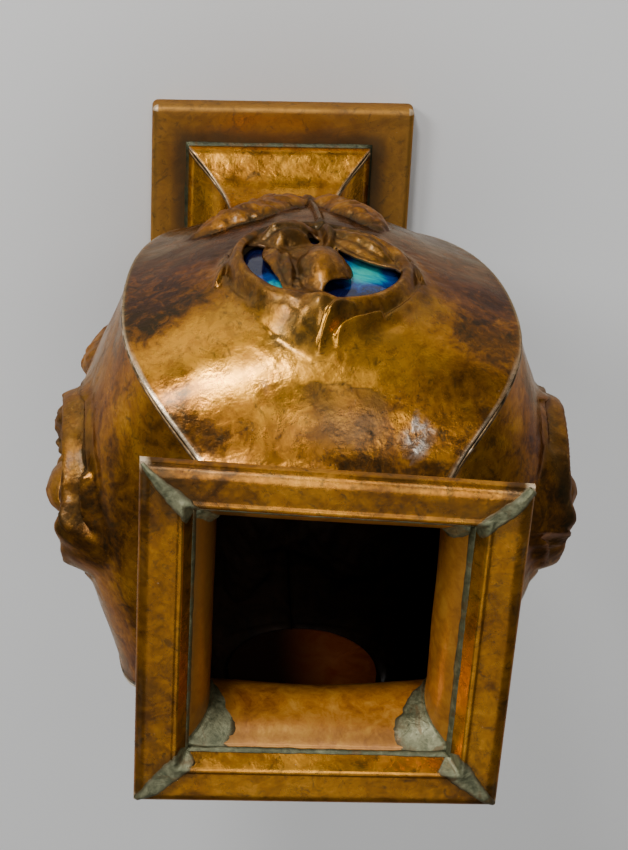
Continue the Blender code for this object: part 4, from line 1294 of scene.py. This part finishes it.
def solder(name, seed, light):
    """Soft grey solder gone greenish, with lighter scraped places, rust and brown margins."""
    nodes = Nodes(name)
    broad = nodes.noise(0.0050, 5, 0.65, 1.0, seed)
    fine = nodes.noise(0.0010, 5, 0.70, 0.5, seed + 4)
    value = nodes.plus(nodes.times(broad, 0.65), nodes.times(fine, 0.35))
    low, high = 0.34 - 0.10 * light, 0.72 - 0.12 * light
    base = nodes.colours(value, (low, (0.036, 0.038, 0.018)), ((low + high) / 2, (0.100, 0.104, 0.052)),
                         (high, (0.25, 0.245, 0.135)))
    margin = nodes.plus(nodes.attribute("margin"), nodes.minus(broad, 0.5))
    base = nodes.mix(nodes.ramp(margin, 0.2, 0.9, 0.0, 0.70), base, (0.075, 0.046, 0.017))
    base = nodes.stain(base, (0.50, 0.49, 0.36), 0.5 + 0.4 * light, (0.66, 0.78),
                       (0.0016, 4, 0.75, 2.0, seed + 13))
    base = nodes.stain(base, (0.11, 0.060, 0.018), 0.7, (0.52, 0.64), (0.009, 5, 0.6, 1.0, seed + 9))
    return nodes.finish(Base_Color=base, Metallic=0.55, Roughness=nodes.ramp(fine, 0.3, 0.7, 0.34, 0.55),
                        Normal=nodes.bump(fine, 0.00010, nodes.bump(broad, 0.00025)))


def interior():
    """The inside of the sheet: warm copper in the throat with painted shade on one wall, and dull, dark
    copper below it, painted near black as shade.
    """
    nodes = Nodes("inside_copper")
    cloud = nodes.noise(0.012, 6, 0.65, 1.0)
    fine = nodes.noise(0.0030, 6, 0.70, 0.8)
    mottle = nodes.plus(nodes.times(cloud, 0.6), nodes.times(fine, 0.4))
    throat = nodes.colours(mottle, (0.36, (0.26, 0.075, 0.009)), (0.50, (0.54, 0.200, 0.020)),
                           (0.64, (0.74, 0.34, 0.042)))
    # Painted shade: the inside below the throat, near black
    below = nodes.colours(cloud, (0.35, (0.012, 0.008, 0.005)), (0.70, (0.060, 0.028, 0.012)))
    x, y, z = nodes.split()
    share = nodes.ramp(z, 0.240, 0.2535)
    # Painted shade on the throat's +X wall
    shaded = nodes.times(nodes.ramp(x, 0.022, 0.028, 0.0, 0.8), nodes.ramp(y, -0.040, 0.026, 1.0, 0.6))
    throat = nodes.mix(shaded, throat, (0.10, 0.035, 0.008))
    throat = nodes.mix(nodes.ramp(z, 0.260, 0.272, 0.0, 0.55), throat, (0.22, 0.105, 0.022))
    return nodes.finish(Base_Color=nodes.mix(share, below, throat), Metallic=0.45,
                        Roughness=nodes.ramp(share, 0.0, 1.0, 0.65, 0.30),
                        Normal=nodes.bump(nodes.noise(0.004, 4), 0.0001))


# Turquoise places on a plaque: across and up as shares of the ring's radius
TURQUOISE = ((-0.46, 0.02), (0.57, 0.62))


def enamel(quarter):
    """Turquoise enamel in two clouds, shading through blue into a dark violet."""
    nodes = Nodes(f"enamel_{quarter}")
    x, y, z = nodes.split()
    across = nodes.times((x, y)[quarter % 2], (1, 1, -1, -1)[quarter] / RING_RADIUS)
    up = nodes.maths("DIVIDE", nodes.minus(z, FLOWER_HEIGHT), RING_RADIUS)
    distances = []
    for centre_across, centre_up in TURQUOISE:
        first, second = nodes.minus(across, centre_across), nodes.minus(up, centre_up)
        squared = nodes.plus(nodes.times(first, first), nodes.times(second, second))
        distances.append(nodes.maths("SQRT", squared))
    cloud = nodes.times(nodes.minus(nodes.noise(0.007, 5, 0.62, 1.2), 0.5), 0.55)
    away = nodes.plus(nodes.maths("MINIMUM", *distances), cloud)
    # Far from the turquoise places the colour runs to dark violet and near black: partly the enamel's own
    # colour, partly painted shade at the crescents' outer ends
    base = nodes.colours(away, (0.07, (0.040, 0.56, 0.47)), (0.19, (0.006, 0.30, 0.38)),
                         (0.31, (0.002, 0.045, 0.22)), (0.50, (0.004, 0.005, 0.030)))
    base = nodes.stain(base, (0.02, 0.22, 0.50), 0.5, (0.58, 0.80), (0.0020, 5, 0.75, 2.5))
    return nodes.finish(Base_Color=base, Metallic=0.0, Roughness=0.12, Specular_IOR_Level=0.15,
                        Coat_Weight=0.25, Coat_Roughness=0.04,
                        Normal=nodes.bump(nodes.noise(0.006, 2), 0.0003))


def plaque_reverse():
    """Bare, reddish fired copper on the back of a plaque, painted near black on one side as shade."""
    nodes = Nodes("plaque_reverse")
    cloud = nodes.noise(0.008, 5, 0.6, 0.8)
    base = nodes.colours(cloud, (0.35, (0.56, 0.105, 0.024)), (0.65, (0.86, 0.26, 0.065)))
    # Painted shade over one half
    painted_shade = nodes.ramp(nodes.plus(nodes.split()["X"], nodes.times(cloud, 0.006)), -0.014, 0.012, 0.0, 0.97)
    return nodes.finish(Base_Color=nodes.mix(painted_shade, base, (0.012, 0.007, 0.004)), Metallic=0.3, Roughness=0.55,
                        Normal=nodes.bump(cloud, 0.0002))


# Build

edge_metal = bright_edge()
joint_metal = seam_metal()
dark_inside = interior()
grey_solder = solder("grey_solder", 2.0, 0.2)
dark_solder = solder("dark_solder", 9.0, -0.6)
light_solder = solder("light_solder", 6.0, 0.9)
plinth_metal = copper("plinth_copper", 31.0, veil=0.35)
rim_metal = copper("rim_copper", 12.0, strips=True)
reverse_metal = plaque_reverse()

FRONT_CELL, PLAIN_CELL = 0.00055, 0.0008
RIM_SOLDER_WIDTHS = {"front": 0.0010, "right": 0.0017, "back": 0.0016, "left": 0.0022}

for side, quarter in SIDES.items():
    sheet_metal = copper(f"panel_copper_{side}", 3.0 + 9.0 * quarter, sheet=True)
    cell = FRONT_CELL if side == "front" else PLAIN_CELL
    panel_piece(side, cell, (sheet_metal, dark_inside, edge_metal))
    rim_piece(side, (rim_metal,))
    plaque_piece(side, (enamel(quarter), reverse_metal))
plinth_piece((plinth_metal,))
for name in CORNERS:
    mitre_solder(name, (light_solder,))
    throat_solder(name, (light_solder,))
for side, width in RIM_SOLDER_WIDTHS.items():
    rim_solder(side, width, (grey_solder,))
for name in ("front_right", "front_left", "back_right", "back_left"):
    seam_bead(name, *CORNERS[name][0], (joint_metal,))
foot_solder((dark_solder,))


# Floor, light and camera

def pale_floor():
    bpy.ops.mesh.primitive_plane_add(size=8, location=(0, 0, 0))
    floor = bpy.context.object
    floor.name = "floor"
    nodes = Nodes("pale_floor")
    base = nodes.colours(nodes.noise(0.3, 2), (0.3, (0.78, 0.78, 0.77)), (0.7, (0.81, 0.81, 0.80)))
    floor.data.materials.append(nodes.finish(Base_Color=base, Roughness=0.8))


LIGHT_TARGET = Vector((0, 0, 0.2))

# Azimuth from the front towards +X and elevation in degrees, distance, size and power
LIGHTS = {
    "key": (15, 21, 1.4, 0.25, 12),
    "side": (52, 23, 1.3, 0.40, 8),
    "top": (-11, 54, 1.4, 0.45, 3),
    "back": (176, 54, 1.5, 1.1, 1.8),
    "ceiling": (0, 86, 1.6, 1.0, 9),
}


def studio_light(name, azimuth, elevation, distance, size, power):
    """A soft round light, aimed at the vase."""
    azimuth, elevation = math.radians(azimuth), math.radians(elevation)
    level = math.cos(elevation)
    way = Vector((math.sin(azimuth) * level, -math.cos(azimuth) * level, math.sin(elevation)))
    light = bpy.data.lights.new(name, "AREA")
    light.shape = "DISK"
    light.size = size
    light.energy = power
    lamp = bpy.data.objects.new(name, light)
    lamp.location = LIGHT_TARGET + way * distance
    lamp.rotation_euler = way.to_track_quat("Z", "Y").to_euler()
    bpy.context.scene.collection.objects.link(lamp)


# The camera as it was fitted to the photo: lens in mm, then turn and place
CAMERA_LENS = 105.88
CAMERA_PLACE = Matrix(((-0.996950, 0.006946, 0.077727, 0.058588),
                       (-0.043546, -0.876054, -0.480243, -0.380351),
                       (0.064758, -0.482163, 0.873685, 0.849240),
                       (0, 0, 0, 1)))

pale_floor()
for name, settings in LIGHTS.items():
    studio_light(name, *settings)

world = bpy.data.worlds.new("studio")
bpy.context.scene.world = world
world.use_nodes = True
world.node_tree.nodes["Background"].inputs["Color"].default_value = (0.75, 0.77, 0.80, 1)
world.node_tree.nodes["Background"].inputs["Strength"].default_value = 0.10

camera = bpy.data.cameras.new("camera")
camera.sensor_width = 36
camera.lens = CAMERA_LENS
viewer = bpy.data.objects.new("camera", camera)
bpy.context.scene.collection.objects.link(viewer)
viewer.matrix_world = CAMERA_PLACE
bpy.context.scene.camera = viewer
